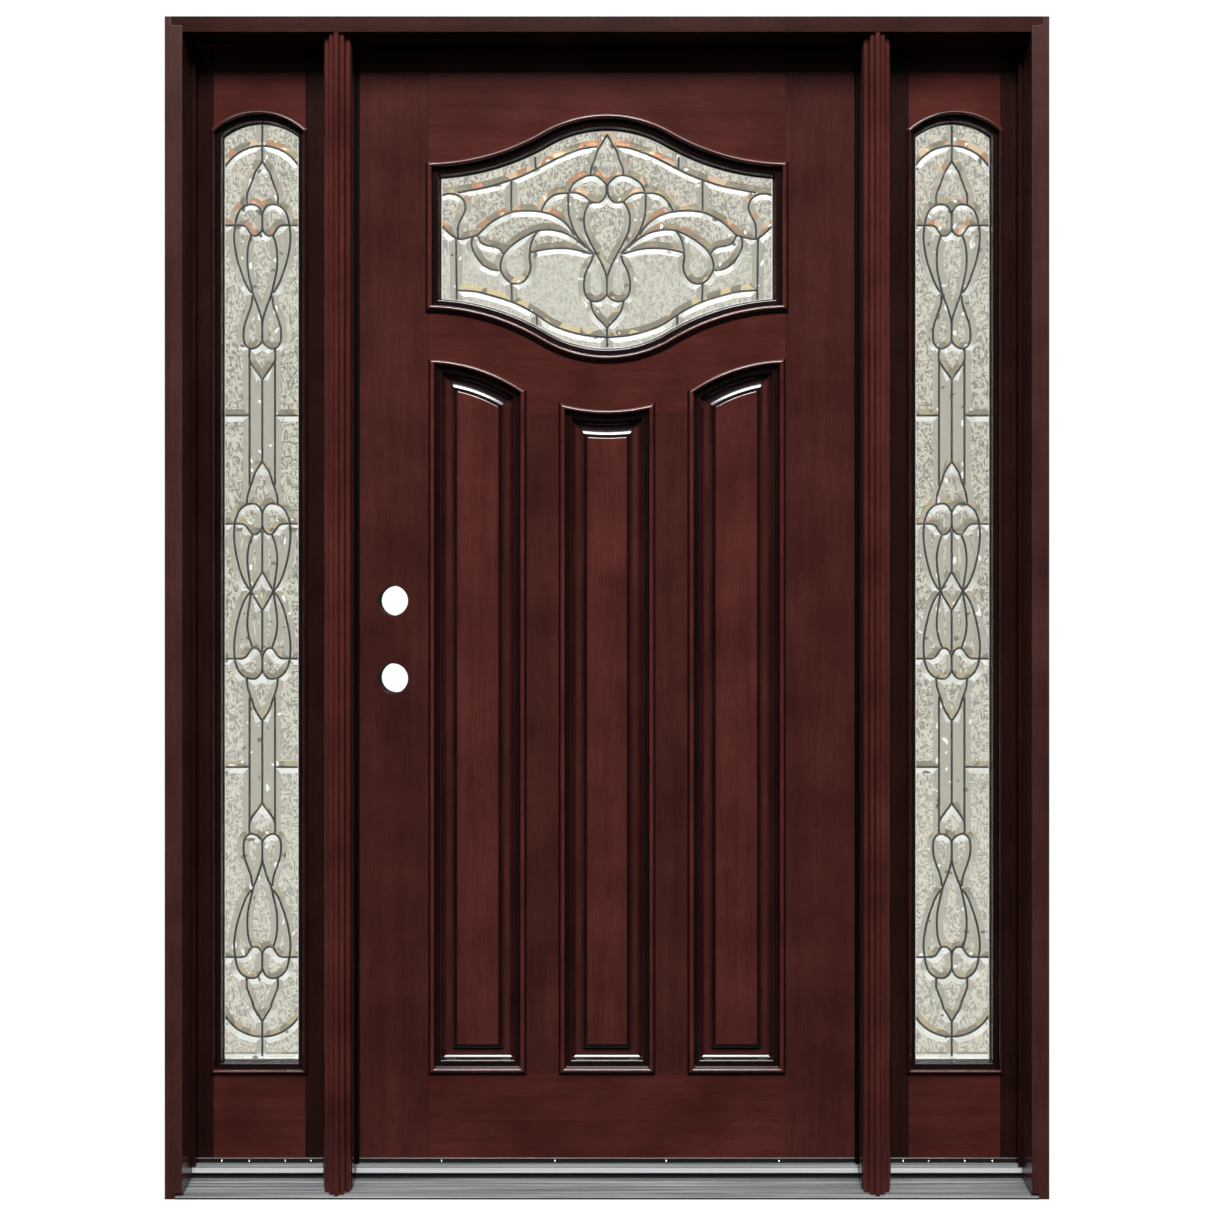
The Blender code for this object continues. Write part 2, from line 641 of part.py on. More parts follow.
def make_door(pivot):
    """The swinging slab: stiles and rails, three raised panels and the lite."""
    depth = (SLAB_FRONT, BACK)
    height = (SLAB_BOTTOM, SLAB_TOP)
    rail_end = STILE_INNER - SEAT
    through = (-BACK, -SLAB_FRONT)

    lock_stile = box("lock_stile", (-DOOR_HALF, -STILE_INNER), depth, height, WOOD, pivot)
    lying = Matrix.Rotation(math.pi / 2, 4, "X")
    for name, z in (("lock_bore", LOCK_BORE_HEIGHT), ("bolt_bore", LOCK_BORE_HEIGHT + BORE_SPACING)):
        centre = Vector((BACKSET - DOOR_HALF, (SLAB_FRONT + BACK) / 2, z))
        drill = cylinder(name, centre, BORE_DIAMETER / 2, 2 * SLAB_THICK, BORE_SIDES, lying)
        combine(lock_stile, drill, "DIFFERENCE")
    box("hinge_stile", (STILE_INNER, DOOR_HALF), depth, height, WOOD, pivot)

    def within_stiles(points):
        return [(min(max(x, -rail_end), rail_end), z) for x, z in points]

    top = within_stiles(lite_top(LITE_MOULDING_LAP))
    flat_piece("top_rail", top + [(rail_end, SLAB_TOP), (-rail_end, SLAB_TOP)], FRONT_VIEW, through,
               WOOD, pivot)

    left = within_stiles(side_panel_top(-1, 0.0))
    right = within_stiles(side_panel_top(1, 0.0))[::-1]
    tab_left = [(-MUNTIN_OUTER, MUNTIN_TOP), (-CENTRE_PANEL_HALF, MUNTIN_TOP)]
    tab_right = [(CENTRE_PANEL_HALF, MUNTIN_TOP), (MUNTIN_OUTER, MUNTIN_TOP)]
    lower = left + tab_left + centre_panel_top(0.0) + tab_right + right
    upper = within_stiles(lite_bottom(LITE_MOULDING_LAP))
    flat_piece("lock_rail", lower + upper[::-1], FRONT_VIEW, through, WOOD, pivot)
    box("bottom_rail", (-rail_end, rail_end), depth, (SLAB_BOTTOM, RAIL_TOP), WOOD, pivot)
    for side, hand in SIDES:
        box(f"muntin_{hand}", (side * CENTRE_PANEL_HALF, side * MUNTIN_OUTER), depth,
            (RAIL_TOP + SEAT, MUNTIN_TOP - SEAT), WOOD, pivot)

    openings = [("left", side_panel_outline(-1)), ("centre", centre_panel_outline),
                ("right", side_panel_outline(1))]
    section = seated_section(PANEL_RECESS)
    for place, outline in openings:
        loft(f"panel_{place}", outline, panel_section(), False, WOOD, pivot)
        loft(f"panel_moulding_front_{place}", outline, on_front(section), True, WOOD, pivot)
        loft(f"panel_moulding_back_{place}", outline, on_back(section), True, WOOD, pivot)

    section = lapped_section(MOULDING_WIDTH, GLASS_RECESS)
    loft("lite_moulding_front", lite_outline, on_front(section), True, WOOD, pivot)
    loft("lite_moulding_back", lite_outline, on_back(section), True, WOOD, pivot)
    loft("door_glass", lite_outline, glass_section(), False, GLASS, pivot)
    shoe_end = SEAL_INNER - SEAT
    flat_piece("door_shoe", shoe_profile(), SIDE_VIEW, (-shoe_end, shoe_end), BRONZE, pivot)


def leaf_outline(middle, knuckles):
    """A hinge leaf seen from its side: a plate with a tab to each of its own knuckles."""
    low = middle - HINGE_HEIGHT / 2
    step = HINGE_HEIGHT / KNUCKLE_COUNT
    plate_back = HINGE_AXIS.y - KNUCKLE_RADIUS - SEAT
    points = [(plate_back - HINGE_WIDTH, low), (plate_back, low)]
    for knuckle in knuckles:
        foot = low + knuckle * step + 2 * SEAT
        head = foot + step - 4 * SEAT
        points += [(plate_back, foot), (HINGE_AXIS.y, foot), (HINGE_AXIS.y, head),
                   (plate_back, head)]
    top = low + HINGE_HEIGHT
    return points + [(plate_back, top), (plate_back - HINGE_WIDTH, top)]


def make_hinge(place, middle, pivot):
    """One butt hinge: the frame's leaf with the outer knuckles and pin tips, and the door's leaf."""
    step = HINGE_HEIGHT / KNUCKLE_COUNT
    low = middle - HINGE_HEIGHT / 2
    frame_side = (POST_INNER - SEAT - LEAF_THICK, POST_INNER - SEAT)
    door_side = (DOOR_HALF + SEAT, DOOR_HALF + SEAT + LEAF_THICK)
    leaves = ((f"hinge_{place}_frame_leaf", frame_side, range(0, KNUCKLE_COUNT, 2), None),
              (f"hinge_{place}_door_leaf", door_side, range(1, KNUCKLE_COUNT, 2), pivot))
    for name, side, knuckles, parent in leaves:
        leaf = flat_piece(name, leaf_outline(middle, knuckles), SIDE_VIEW, side, BRASS, parent)
        for knuckle in knuckles:
            centre = Vector((HINGE_AXIS.x, HINGE_AXIS.y, low + (knuckle + 0.5) * step))
            barrel = cylinder(f"{name}_knuckle_{knuckle}", centre, KNUCKLE_RADIUS,
                              step - 2 * SEAT, HINGE_SIDES)
            combine(leaf, barrel, "UNION")
        if parent is None:
            for end, z in (("foot", low), ("head", low + HINGE_HEIGHT)):
                centre = Vector((HINGE_AXIS.x, HINGE_AXIS.y, z))
                tip = cylinder(f"{name}_pin_{end}", centre, PIN_RADIUS, 2 * PIN_TIP, HINGE_SIDES)
                combine(leaf, tip, "UNION")


def main():
    """Build the frame, the sidelights and the door on its hinges."""
    make_frame()
    for side, hand in SIDES:
        make_sidelight(side, hand)
    pivot = bpy.data.objects.new("door_pivot", None)
    pivot.location = HINGE_AXIS
    MODEL.objects.link(pivot)
    make_door(pivot)
    half = HINGE_HEIGHT / 2
    top_hinge = SLAB_TOP - HINGE_FROM_TOP - half
    bottom_hinge = SLAB_BOTTOM + HINGE_FROM_FOOT + half
    make_hinge("bottom", bottom_hinge, pivot)
    make_hinge("middle", (top_hinge + bottom_hinge) / 2, pivot)
    make_hinge("top", top_hinge, pivot)


clear_scene()
MODEL = new_collection("Entry door with sidelights")
CUTTERS = new_collection("Cutters")
SIDES = ((-1, "left"), (1, "right"))
WOOD = new_material("Dark mahogany", (0.062, 0.018, 0.014), 0.3)
GLASS = new_material("Leaded glass unit", (0.82, 0.84, 0.78), 0.05, transmission=0.9)
MILL_ALUMINIUM = new_material("Mill aluminium", (0.5, 0.49, 0.47), 0.4, metallic=1.0)
BRIGHT_ALUMINIUM = new_material("Bright aluminium", (0.85, 0.85, 0.85), 0.2, metallic=1.0)
BRONZE = new_material("Dark bronze", (0.014, 0.014, 0.013), 0.45, metallic=0.6)
BRASS = new_material("Aged brass", (0.25, 0.17, 0.08), 0.35, metallic=1.0)
RUBBER = new_material("Black rubber", (0.01, 0.01, 0.01), 0.7)
main()
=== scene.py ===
"""Looks of the entry door and its two sidelights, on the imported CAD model.

Metres, +Z up. The outside faces -Y. Left and right are as seen from the outside.
"""
import math

import bmesh
import bpy
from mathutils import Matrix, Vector, kdtree, noise


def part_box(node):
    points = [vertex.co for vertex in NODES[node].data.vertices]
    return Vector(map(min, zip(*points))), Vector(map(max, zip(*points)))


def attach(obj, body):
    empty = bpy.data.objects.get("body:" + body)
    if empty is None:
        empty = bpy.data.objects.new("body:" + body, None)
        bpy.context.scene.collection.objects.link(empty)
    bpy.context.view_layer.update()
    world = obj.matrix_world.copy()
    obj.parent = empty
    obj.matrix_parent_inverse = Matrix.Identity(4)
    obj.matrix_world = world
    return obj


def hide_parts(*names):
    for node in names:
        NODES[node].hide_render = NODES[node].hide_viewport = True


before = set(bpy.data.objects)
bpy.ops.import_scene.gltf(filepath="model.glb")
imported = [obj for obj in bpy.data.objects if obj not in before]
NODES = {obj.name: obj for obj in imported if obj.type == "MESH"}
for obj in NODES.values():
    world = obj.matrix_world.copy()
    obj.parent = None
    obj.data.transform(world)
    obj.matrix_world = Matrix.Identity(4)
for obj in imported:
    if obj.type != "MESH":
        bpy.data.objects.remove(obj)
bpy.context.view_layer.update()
SIDES = ((-1, "left"), (1, "right"))

# Sizes that the CAD model was built with
SEAT = 0.0003
FRONT = -0.058
BACK = 0.058
SLAB_FRONT = 0.01355
STILE_INNER = 0.3208
LITE_HALF = 0.3258
LITE_TOP_CREST = 1.9208
LITE_BOTTOM_CREST = 1.473
LITE_TOP_RISE = 0.0872
LITE_BOTTOM_RISE = 0.0904
LITE_CROWN_RADIUS = 0.235
LITE_MOULDING_LAP = 0.005
PANEL_GAP = 0.083
CENTRE_PANEL_HALF = 0.087
MUNTIN_OUTER = 0.144
RAIL_TOP = 0.1962
SIDE_CENTRE = 0.62375
SIDE_LITE_HALF = 0.0875
SIDE_LITE_CREST = 1.9257
SIDE_LITE_RADIUS = 0.126
PANEL_RECESS = 0.012275
GLASS_RECESS = 0.012725

# Smoothness of the curves
ARC_STEPS = 20
PANEL_TOP_STEPS = 24
SIDE_ARCH_STEPS = 28
BEAD_STEPS = 10
FIELD_STEPS = 6
CORNER_TURN = math.radians(20)
STEEP = 2.0
TINY = 1e-9
ON_AXIS = 1e-6

# Mouldings, from the wood inwards: a fillet, a bead, a hollow, a rounded nose and a foot that
# splays onto a panel or curves onto the glass
CHAMFER = 0.0004
FILLET_WIDTH = 0.0034
FILLET_HEIGHT = 0.0036
BEAD_CENTRE = 0.0076
BEAD_RADIUS = 0.0041
BEAD_CREST = 0.0092
COVE_START = 0.013
COVE_END = 0.0212
COVE_FLOOR = -0.0018
NOSE_END = 0.0236
NOSE_DROP = 0.0042
NOSE_FOOT = 0.026
NOSE_FOOT_DROP = 0.0076
FOOT_COVE_END = 0.0316
FOOT_COVE_SAG = 0.3
FOOT_DIP = 0.0002
BEAD_TURN = math.radians(178)
# Insets where the dark glaze with painted shade starts and, on the upright stretches, ends
GLAZE_AND_SHADE_START = 0.0116
GLAZE_AND_SHADE_END = 0.021
MOULDING_WIDTH = 0.027
SIDE_MOULDING_WIDTH = 0.0205

# Raised panels: a flat margin, a steep bevel, a riser, a narrow land and a step to the field
PANEL_EDGE = 0.002
PANEL_MARGIN_END = 0.0408
PANEL_MARGIN_RISE = 0.0006
PANEL_BEVEL_END = 0.0454
PANEL_BEVEL_RISE = 0.0025
PANEL_RISER_END = 0.0462
PANEL_RISER_RISE = 0.0081
PANEL_LAND_END = 0.0512
PANEL_LAND_RISE = 0.0089
PANEL_FIELD = 0.0542
PANEL_FIELD_DROP = 0.0015
FIELD_RIM = 0.0012
FIELD_ROUND = 0.9
MARGIN_SPLIT = 0.001
RISER_CREASE = 0.0006
RISER_SOFT = 0.0002


# Meshes

def link_mesh(name, mesh):
    obj = bpy.data.objects.new(name, mesh)
    bpy.context.scene.collection.objects.link(obj)
    return obj


def new_object(name, verts, faces, materials, indices=None, sharp=(), sharp_angle=35.0):
    """A smooth-shaded mesh object, with sharp edges where it turns by more than an angle."""
    mesh = bpy.data.meshes.new(name)
    mesh.from_pydata(verts, [], faces)
    for material in materials:
        mesh.materials.append(material)
    if indices is not None:
        mesh.polygons.foreach_set("material_index", indices)
    shape = bmesh.new()
    shape.from_mesh(mesh)
    bmesh.ops.recalc_face_normals(shape, faces=shape.faces)
    shape.verts.ensure_lookup_table()
    for face in shape.faces:
        face.smooth = True
    limit = math.radians(sharp_angle)
    for edge in shape.edges:
        if len(edge.link_faces) == 2 and edge.calc_face_angle(0.0) > limit:
            edge.smooth = False
    for first, second in sharp:
        edge = shape.edges.get((shape.verts[first], shape.verts[second]))
        if edge is not None:
            edge.smooth = False
    shape.to_mesh(mesh)
    shape.free()
    return link_mesh(name, mesh)


def place(obj, body, slot, *nodes):
    """Attach a piece to the body it rides on and hide the CAD nodes it stands for. The slot is
    not used.
    """
    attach(obj, body)
    if nodes:
        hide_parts(*nodes)


def oval(centre, half_width, rise, start, end, steps):
    """Points of an ellipse between two angles, counted from +X."""
    points = []
    for step in range(steps + 1):
        angle = start + (end - start) * step / steps
        points.append((centre[0] + half_width * math.cos(angle),
                       centre[1] + rise * math.sin(angle)))
    return points


def arc_points(centre, radius, start, end, steps):
    return oval(centre, radius, radius, start, end, steps)


def corner_spokes(outline):
    """Indices of an outline's points where it turns sharply."""
    count = len(outline)
    found = []
    for index in range(count):
        before = Vector(outline[index]) - Vector(outline[index - 1])
        after = Vector(outline[(index + 1) % count]) - Vector(outline[index])
        if min(before.length, after.length) > TINY and before.angle(after) > CORNER_TURN:
            found.append(index)
    return found


def loft(name, outline, section, closed, materials, paint=None, sharp_angle=35.0):
    """Rings of one outline at each inset and depth of a section.

    paint picks a material by the inset and by the stretch: "side", "top" or "foot".
    """
    verts = []
    faces = []
    indices = []
    sharp = []
    base = outline(section[0][0])
    count = len(base)
    corners = corner_spokes(base)
    for inset, depth in section:
        verts += [(x, depth, z) for x, z in outline(inset)]
    rings = len(section)
    last = rings if closed else rings - 1
    middle = (max(z for _, z in base) + min(z for _, z in base)) / 2
    stretches = []
    for index in range(count):
        step = Vector(base[(index + 1) % count]) - Vector(base[index])
        level = "top" if base[index][1] > middle else "foot"
        stretches.append("side" if abs(step.y) > abs(step.x) * STEEP else level)
    for ring in range(last):
        low = ring * count
        high = ((ring + 1) % rings) * count
        inset = (section[ring][0] + section[(ring + 1) % rings][0]) / 2
        for index in range(count):
            after = (index + 1) % count
            faces.append((low + index, low + after, high + after, high + index))
            indices.append(paint(inset, stretches[index]) if paint else 0)
        sharp += [(low + index, high + index) for index in corners]
    if not closed:
        faces.append(tuple(range(count)))
        faces.append(tuple((rings - 1) * count + index for index in range(count)))
        indices += [0, 0]
    return new_object(name, verts, faces, materials, indices, sharp, sharp_angle)


def prism(name, near, far, materials, sides=None):
    """A closed section at one end, joined to the same section at the other.

    A list of sides picks a material for each stretch of the section.
    """
    count = len(near)
    faces = [tuple(range(count)), tuple(range(count, 2 * count))]
    for index in range(count):
        after = (index + 1) % count
        faces.append((index, after, count + after, count + index))
    indices = [0, 0] + (sides or [0] * count)
    return new_object(name, list(near) + list(far), faces, materials, indices)


# Outlines, as in the CAD model with finer steps

def flank_radius(rise):
    return (LITE_HALF ** 2 + rise ** 2) / (2 * rise) - LITE_CROWN_RADIUS


def ogee_half(rise, inset):
    """Half of the lite's ogee from the crest to a corner, as pairs of distance and drop."""
    flank = flank_radius(rise)
    turn = math.asin(LITE_HALF / (flank + LITE_CROWN_RADIUS))
    corner_turn = math.asin(inset / (flank + inset))
    crown = LITE_CROWN_RADIUS - inset
    points = []
    for step in range(ARC_STEPS):
        angle = turn * step / ARC_STEPS
        points.append((crown * math.sin(angle), LITE_CROWN_RADIUS - crown * math.cos(angle)))
    for step in range(ARC_STEPS + 1):
        angle = turn + (corner_turn - turn) * step / ARC_STEPS
        across = LITE_HALF - (flank + inset) * math.sin(angle)
        points.append((across, rise - flank + (flank + inset) * math.cos(angle)))
    return points


def ogee(rise, inset):
    half = ogee_half(rise, inset)
    return [(-across, drop) for across, drop in reversed(half)] + half[1:]


def lite_top(inset):
    return [(x, LITE_TOP_CREST - drop) for x, drop in ogee(LITE_TOP_RISE, inset)]


def lite_bottom(inset):
    return [(x, LITE_BOTTOM_CREST + drop) for x, drop in ogee(LITE_BOTTOM_RISE, inset)]


def lite_outline(inset):
    return lite_top(inset) + lite_bottom(inset)[::-1]


def side_panel_outline(side):
    """Outline of an outer panel: an arc above, parallel to the lite's lower edge."""
    def outline(inset):
        flank = flank_radius(LITE_BOTTOM_RISE)
        centre = LITE_BOTTOM_CREST + LITE_BOTTOM_RISE - flank
        radius = flank - PANEL_GAP - inset
        start = math.acos((LITE_HALF - STILE_INNER + inset) / radius)
        end = math.acos((LITE_HALF - MUNTIN_OUTER - inset) / radius)
        arc = arc_points((0.0, centre), radius, start, end, PANEL_TOP_STEPS)
        top = [(side * (LITE_HALF - x), z) for x, z in arc]
        foot = RAIL_TOP + inset
        return top + [(side * (MUNTIN_OUTER + inset), foot), (side * (STILE_INNER - inset), foot)]
    return outline


def centre_panel_outline(inset):
    radius = LITE_CROWN_RADIUS + PANEL_GAP + inset
    half = CENTRE_PANEL_HALF - inset
    turn = math.asin(half / radius)
    down = -math.pi / 2
    arc = arc_points((0.0, LITE_BOTTOM_CREST + LITE_CROWN_RADIUS), radius, down - turn,
                     down + turn, PANEL_TOP_STEPS)
    foot = RAIL_TOP + inset
    return arc + [(half, foot), (-half, foot)]


def side_lite_outline(side):
    """Outline of a sidelight's glazing: an arch over a straight foot."""
    def outline(inset):
        radius = SIDE_LITE_RADIUS - inset
        half = SIDE_LITE_HALF - inset
        turn = math.asin(half / radius)
        middle = side * SIDE_CENTRE
        up = math.pi / 2
        arch = arc_points((middle, SIDE_LITE_CREST - SIDE_LITE_RADIUS), radius, up - turn,
                          up + turn, SIDE_ARCH_STEPS)
        foot = RAIL_TOP + inset
        return arch + [(middle - half, foot), (middle + half, foot)]
    return outline


# Sections

def moulding_face():
    """Show face of a moulding, as pairs of inset and height over the slab's face."""
    points = [(0.0, SEAT), (0.0, FILLET_HEIGHT - CHAMFER), (CHAMFER, FILLET_HEIGHT),
              (FILLET_WIDTH, FILLET_HEIGHT)]
    points += oval((BEAD_CENTRE, FILLET_HEIGHT), BEAD_RADIUS, BEAD_CREST - FILLET_HEIGHT,
                   BEAD_TURN, 0.0, BEAD_STEPS)
    points += [(COVE_START, COVE_FLOOR + CHAMFER), (COVE_END, COVE_FLOOR)]
    points += oval((COVE_END, -NOSE_DROP), NOSE_END - COVE_END, NOSE_DROP + COVE_FLOOR,
                   math.pi / 2, 0.0, BEAD_STEPS)[1:]
    return points


def lapped_section(width, recess):
    """A moulding whose bead laps the wood and whose foot stands in the opening on the glass."""
    foot = -recess + SEAT
    inner = LITE_MOULDING_LAP + SEAT
    face = [(inset * width / MOULDING_WIDTH, height) for inset, height in moulding_face()]
    start = face[-1]
    for step in range(1, BEAD_STEPS + 1):
        turn = math.radians(90 * step / BEAD_STEPS)
        face.append((start[0] + (width - start[0]) * (1 - math.cos(turn)),
                     start[1] + (foot - FOOT_DIP - start[1]) * math.sin(turn)))
    return face + [(width, foot), (inner, foot), (inner, SEAT)]


def seated_section(recess):
    """A moulding that stands in the opening and splays out onto the panel's margin."""
    foot = -recess + SEAT
    face = [(max(inset, SEAT), height) for inset, height in moulding_face()]
    width = FOOT_COVE_END - NOSE_FOOT
    drop = foot + SEAT + NOSE_FOOT_DROP
    for step in range(BEAD_STEPS + 1):
        share = step / BEAD_STEPS
        sag = FOOT_COVE_SAG * share * (1 - share)
        face.append((NOSE_FOOT + width * (share - sag), -NOSE_FOOT_DROP + drop * (share + sag)))
    return face + [(FOOT_COVE_END, foot), (SEAT, foot)]


def on_front(section):
    return [(inset, SLAB_FRONT - height) for inset, height in section]


def on_back(section):
    return [(inset, BACK + height) for inset, height in section]


def panel_face():
    """Raised side of a panel, from its flat field out to its edge in the groove."""
    margin = -PANEL_RECESS
    land = margin + PANEL_LAND_RISE
    riser = margin + PANEL_RISER_RISE
    points = [(PANEL_FIELD + FIELD_RIM, -PANEL_FIELD_DROP), (PANEL_FIELD, -PANEL_FIELD_DROP)]
    width = PANEL_FIELD - PANEL_LAND_END
    step = oval((width, 0.0), width * FIELD_ROUND, -PANEL_FIELD_DROP - land, math.pi / 2,
                math.pi, FIELD_STEPS)
    points += [(PANEL_LAND_END + x, land + z) for x, z in step[1:]]
    return points + [(PANEL_LAND_END, land), (PANEL_RISER_END + RISER_CREASE, riser + RISER_SOFT),
                     (PANEL_RISER_END, riser - RISER_SOFT),
                     (PANEL_BEVEL_END, margin + PANEL_BEVEL_RISE),
                     (PANEL_MARGIN_END, margin + PANEL_MARGIN_RISE),
                     (MOULDING_WIDTH + MARGIN_SPLIT, margin), (MOULDING_WIDTH, margin),
                     (PANEL_EDGE, margin)]


# Shaders

class Nodes:
    """A material's node tree, with short calls for the nodes that the materials share."""

    def __init__(self, name):
        self.material = bpy.data.materials.new(name)
        self.material.use_nodes = True
        self.tree = self.material.node_tree
        self.shader = self.tree.nodes["Principled BSDF"]

    def fill(self, socket, value):
        """Link a socket to another one, or give it a value."""
        if isinstance(value, bpy.types.NodeSocket):
            self.tree.links.new(value, socket)
        elif socket.type == "RGBA":
            socket.default_value = (*value, 1.0)
        else:
            socket.default_value = value

    def fill_all(self, node, values):
        for name, value in values.items():
            self.fill(node.inputs[name.replace("_", " ")], value)

    def node(self, kind, **values):
        """A new node, with its sockets filled by name."""
        node = self.tree.nodes.new("ShaderNode" + kind)
        self.fill_all(node, values)
        return node

    def set(self, **values):
        """Fill the shader's sockets by name."""
        self.fill_all(self.shader, values)

    def spot(self):
        return self.node("TexCoord").outputs["Object"]

    def coords(self, scale=(1.0, 1.0, 1.0), rotation=(0.0, 0.0, 0.0), kind="POINT"):
        """Object coordinates, scaled and then turned, or the reverse with the kind TEXTURE."""
        mapping = self.node("Mapping", Vector=self.spot(), Scale=scale, Rotation=rotation)
        mapping.vector_type = kind
        return mapping.outputs["Vector"]

    def noise(self, vector, scale, detail=4.0, roughness=0.55, distortion=0.0):
        node = self.node("TexNoise", Vector=vector, Scale=scale, Detail=detail,
                         Roughness=roughness, Distortion=distortion)
        return node.outputs["Fac"]

    def ramp(self, value, stops):
        """Colours or greys at places from 0 to 1."""
        node = self.node("ValToRGB", Fac=value)
        band = node.color_ramp
        while len(band.elements) < len(stops):
            band.elements.new(0.5)
        for element, (spot, colour) in zip(band.elements, stops):
            element.position = spot
            if isinstance(colour, (int, float)):
                colour = (colour, colour, colour)
            element.color = (*colour, 1.0)
        return node.outputs["Color"]

    def mix(self, share, first, second, mode="MIX"):
        node = self.node("Mix")
        node.data_type = "RGBA"
        node.blend_type = mode
        for index, value in ((0, share), (6, first), (7, second)):
            self.fill(node.inputs[index], value)
        return node.outputs[2]

    def stain(self, first, second):
        return self.mix(1.0, first, second, "MULTIPLY")

    def step(self, value, low, high):
        """0 below a low mark, 1 above a high one."""
        return self.ramp(value, ((low, 0.0), (high, 1.0)))

    def choose(self, value, low, high, first, second):
        """The first below a low mark, the second above a high one."""
        return self.mix(self.step(value, low, high), first, second)

    def times(self, first, second):
        node = self.node("Math")
        node.operation = "MULTIPLY"
        self.fill(node.inputs[0], first)
        self.fill(node.inputs[1], second)
        return node.outputs[0]

    def height(self):
        """Object coordinate Z."""
        return self.node("SeparateXYZ", Vector=self.spot()).outputs["Z"]

    def scaled(self, value, low, high, start=0.0, end=1.0):
        node = self.node("MapRange", Value=value, From_Min=start, From_Max=end, To_Min=low,
                         To_Max=high)
        return node.outputs["Result"]

    def attribute(self, name):
        node = self.node("Attribute")
        node.attribute_name = name
        return node.outputs["Fac"]

    def bump(self, height, strength, distance=0.0002):
        node = self.node("Bump", Height=height, Strength=strength, Distance=distance)
        self.set(Normal=node.outputs["Normal"])


LIGHT_LIP_FROM = 0.0443
LIGHT_LIP_FADE = 0.001
STREAK_ALONG = 3.0
STREAK_ACROSS = 420.0

# What the mesh of a leaded plate tells its shader
PLATE_VALUES = ("lead", "slope", "crinkle", "copper", "straw", "front")

# Glass colours: the cells' tint, then the bevels' painted highlights where they face up, painted
# shade where they face sideways and down, painted warm reflections, and painted shadow and glint
# flecks
CELL = (0.79, 0.738, 0.636)
CELL_SMOOTH = (0.69, 0.663, 0.588)
CELL_CLOUD = (0.745, 0.722, 0.655)
PALE = (0.9, 0.9, 0.87)
PALE_SHADE = (0.8, 0.79, 0.73)
SIDE_BAND = (0.5, 0.47, 0.4)
BROWN_BAND = (0.3, 0.26, 0.19)
COPPER_DEEP = (0.56, 0.3, 0.17)
COPPER_LIGHT = (0.82, 0.56, 0.4)
STRAW_BAND = (0.9, 0.74, 0.45)
BAND_SHADOW = (0.2, 0.18, 0.14)
GLINT = (1.0, 1.0, 0.98)

# Crinkle of the cells: greys from hollow to crest as painted light and shade, and the strokes'
# length, turns and seeds
STROKES = ((0.42, 0.4), (0.475, 0.66), (0.515, 0.93), (0.56, 1.0))
STROKE_LENGTH = 3.2
STROKE_ANGLES = ((35, 0), (-40, 3), (80, 11), (-10, 19))


def stretched(fine, long, axis):
    """A texture scale that is fine across and long along one axis."""
    scale = [fine, fine, fine]
    scale["XYZ".index(axis)] = long
    return tuple(scale)


def wood(name, axis, tones, seed, gloss=0.13):
    """Mahogany under a satin lacquer, with its grain along one axis."""
    mat = Nodes(name)
    grain = mat.coords(stretched(1.0, 0.055, axis), (0.013 * seed, 0.02, 0.011 * seed))
    ribbons = mat.noise(grain, 46.0 + seed, detail=6.0, roughness=0.62, distortion=0.35)
    colour = mat.ramp(ribbons, ((0.2, tones[0]), (0.8, tones[1])))
    cloud = mat.noise(mat.coords(), 6.5 + 0.3 * seed, detail=3.0)
    colour = mat.stain(colour, mat.ramp(cloud, ((0.32, 0.74), (0.68, 1.22))))
    pores = mat.noise(mat.coords(stretched(900.0, 38.0, axis)), 1.0, detail=2.0, roughness=0.6)
    colour = mat.stain(colour, mat.ramp(pores, ((0.34, 0.74), (0.5, 1.0))))
    mat.bump(mat.step(pores, 0.34, 0.47), 0.25)
    mat.set(Base_Color=colour, Roughness=mat.scaled(ribbons, 0.62, 0.48),
            Specular_IOR_Level=0.0, Coat_Weight=1.0, Coat_Roughness=gloss, Coat_IOR=1.5)
    return mat.material


def metal(name, colour, roughness, drawn, metallic=1.0, spread=0.1, across=STREAK_ACROSS):
    """Metal with fine streaks along X where it is drawn, or else mottled."""
    mat = Nodes(name)
    scale = stretched(across, STREAK_ALONG if drawn else across, "X")
    streaks = mat.noise(mat.coords(scale), 1.0, detail=3.0)
    dull = tuple(part * (1 - spread) for part in colour)
    bright = tuple(min(part * (1 + spread), 1.0) for part in colour)
    mat.bump(streaks, 0.12)
    mat.set(Base_Color=mat.ramp(streaks, ((0.35, dull), (0.65, bright))), Metallic=metallic,
            Roughness=mat.scaled(streaks, roughness * 0.8, roughness * 1.25))
    return mat.material


def shoe_material():
    """Dark bronze finish, lighter along the lip at its top."""
    mat = Nodes("Dark bronze")
    scale = stretched(STREAK_ACROSS, STREAK_ALONG, "X")
    streaks = mat.noise(mat.coords(scale), 1.0, detail=3.0)
    dark = mat.ramp(streaks, ((0.35, (0.009, 0.0095, 0.009)), (0.65, (0.018, 0.019, 0.018))))
    lip_tone = mat.ramp(streaks, ((0.35, (0.26, 0.235, 0.23)), (0.65, (0.36, 0.33, 0.325))))
    lip = mat.scaled(mat.height(), 0.0, 1.0, LIGHT_LIP_FROM, LIGHT_LIP_FROM + LIGHT_LIP_FADE)
    light_lip = mat.step(lip, 0.3, 0.7)
    mat.bump(streaks, 0.12)
    mat.set(Base_Color=mat.mix(light_lip, dark, lip_tone), Metallic=0.5,
            Roughness=mat.scaled(streaks, 0.36, 0.5))
    return mat.material


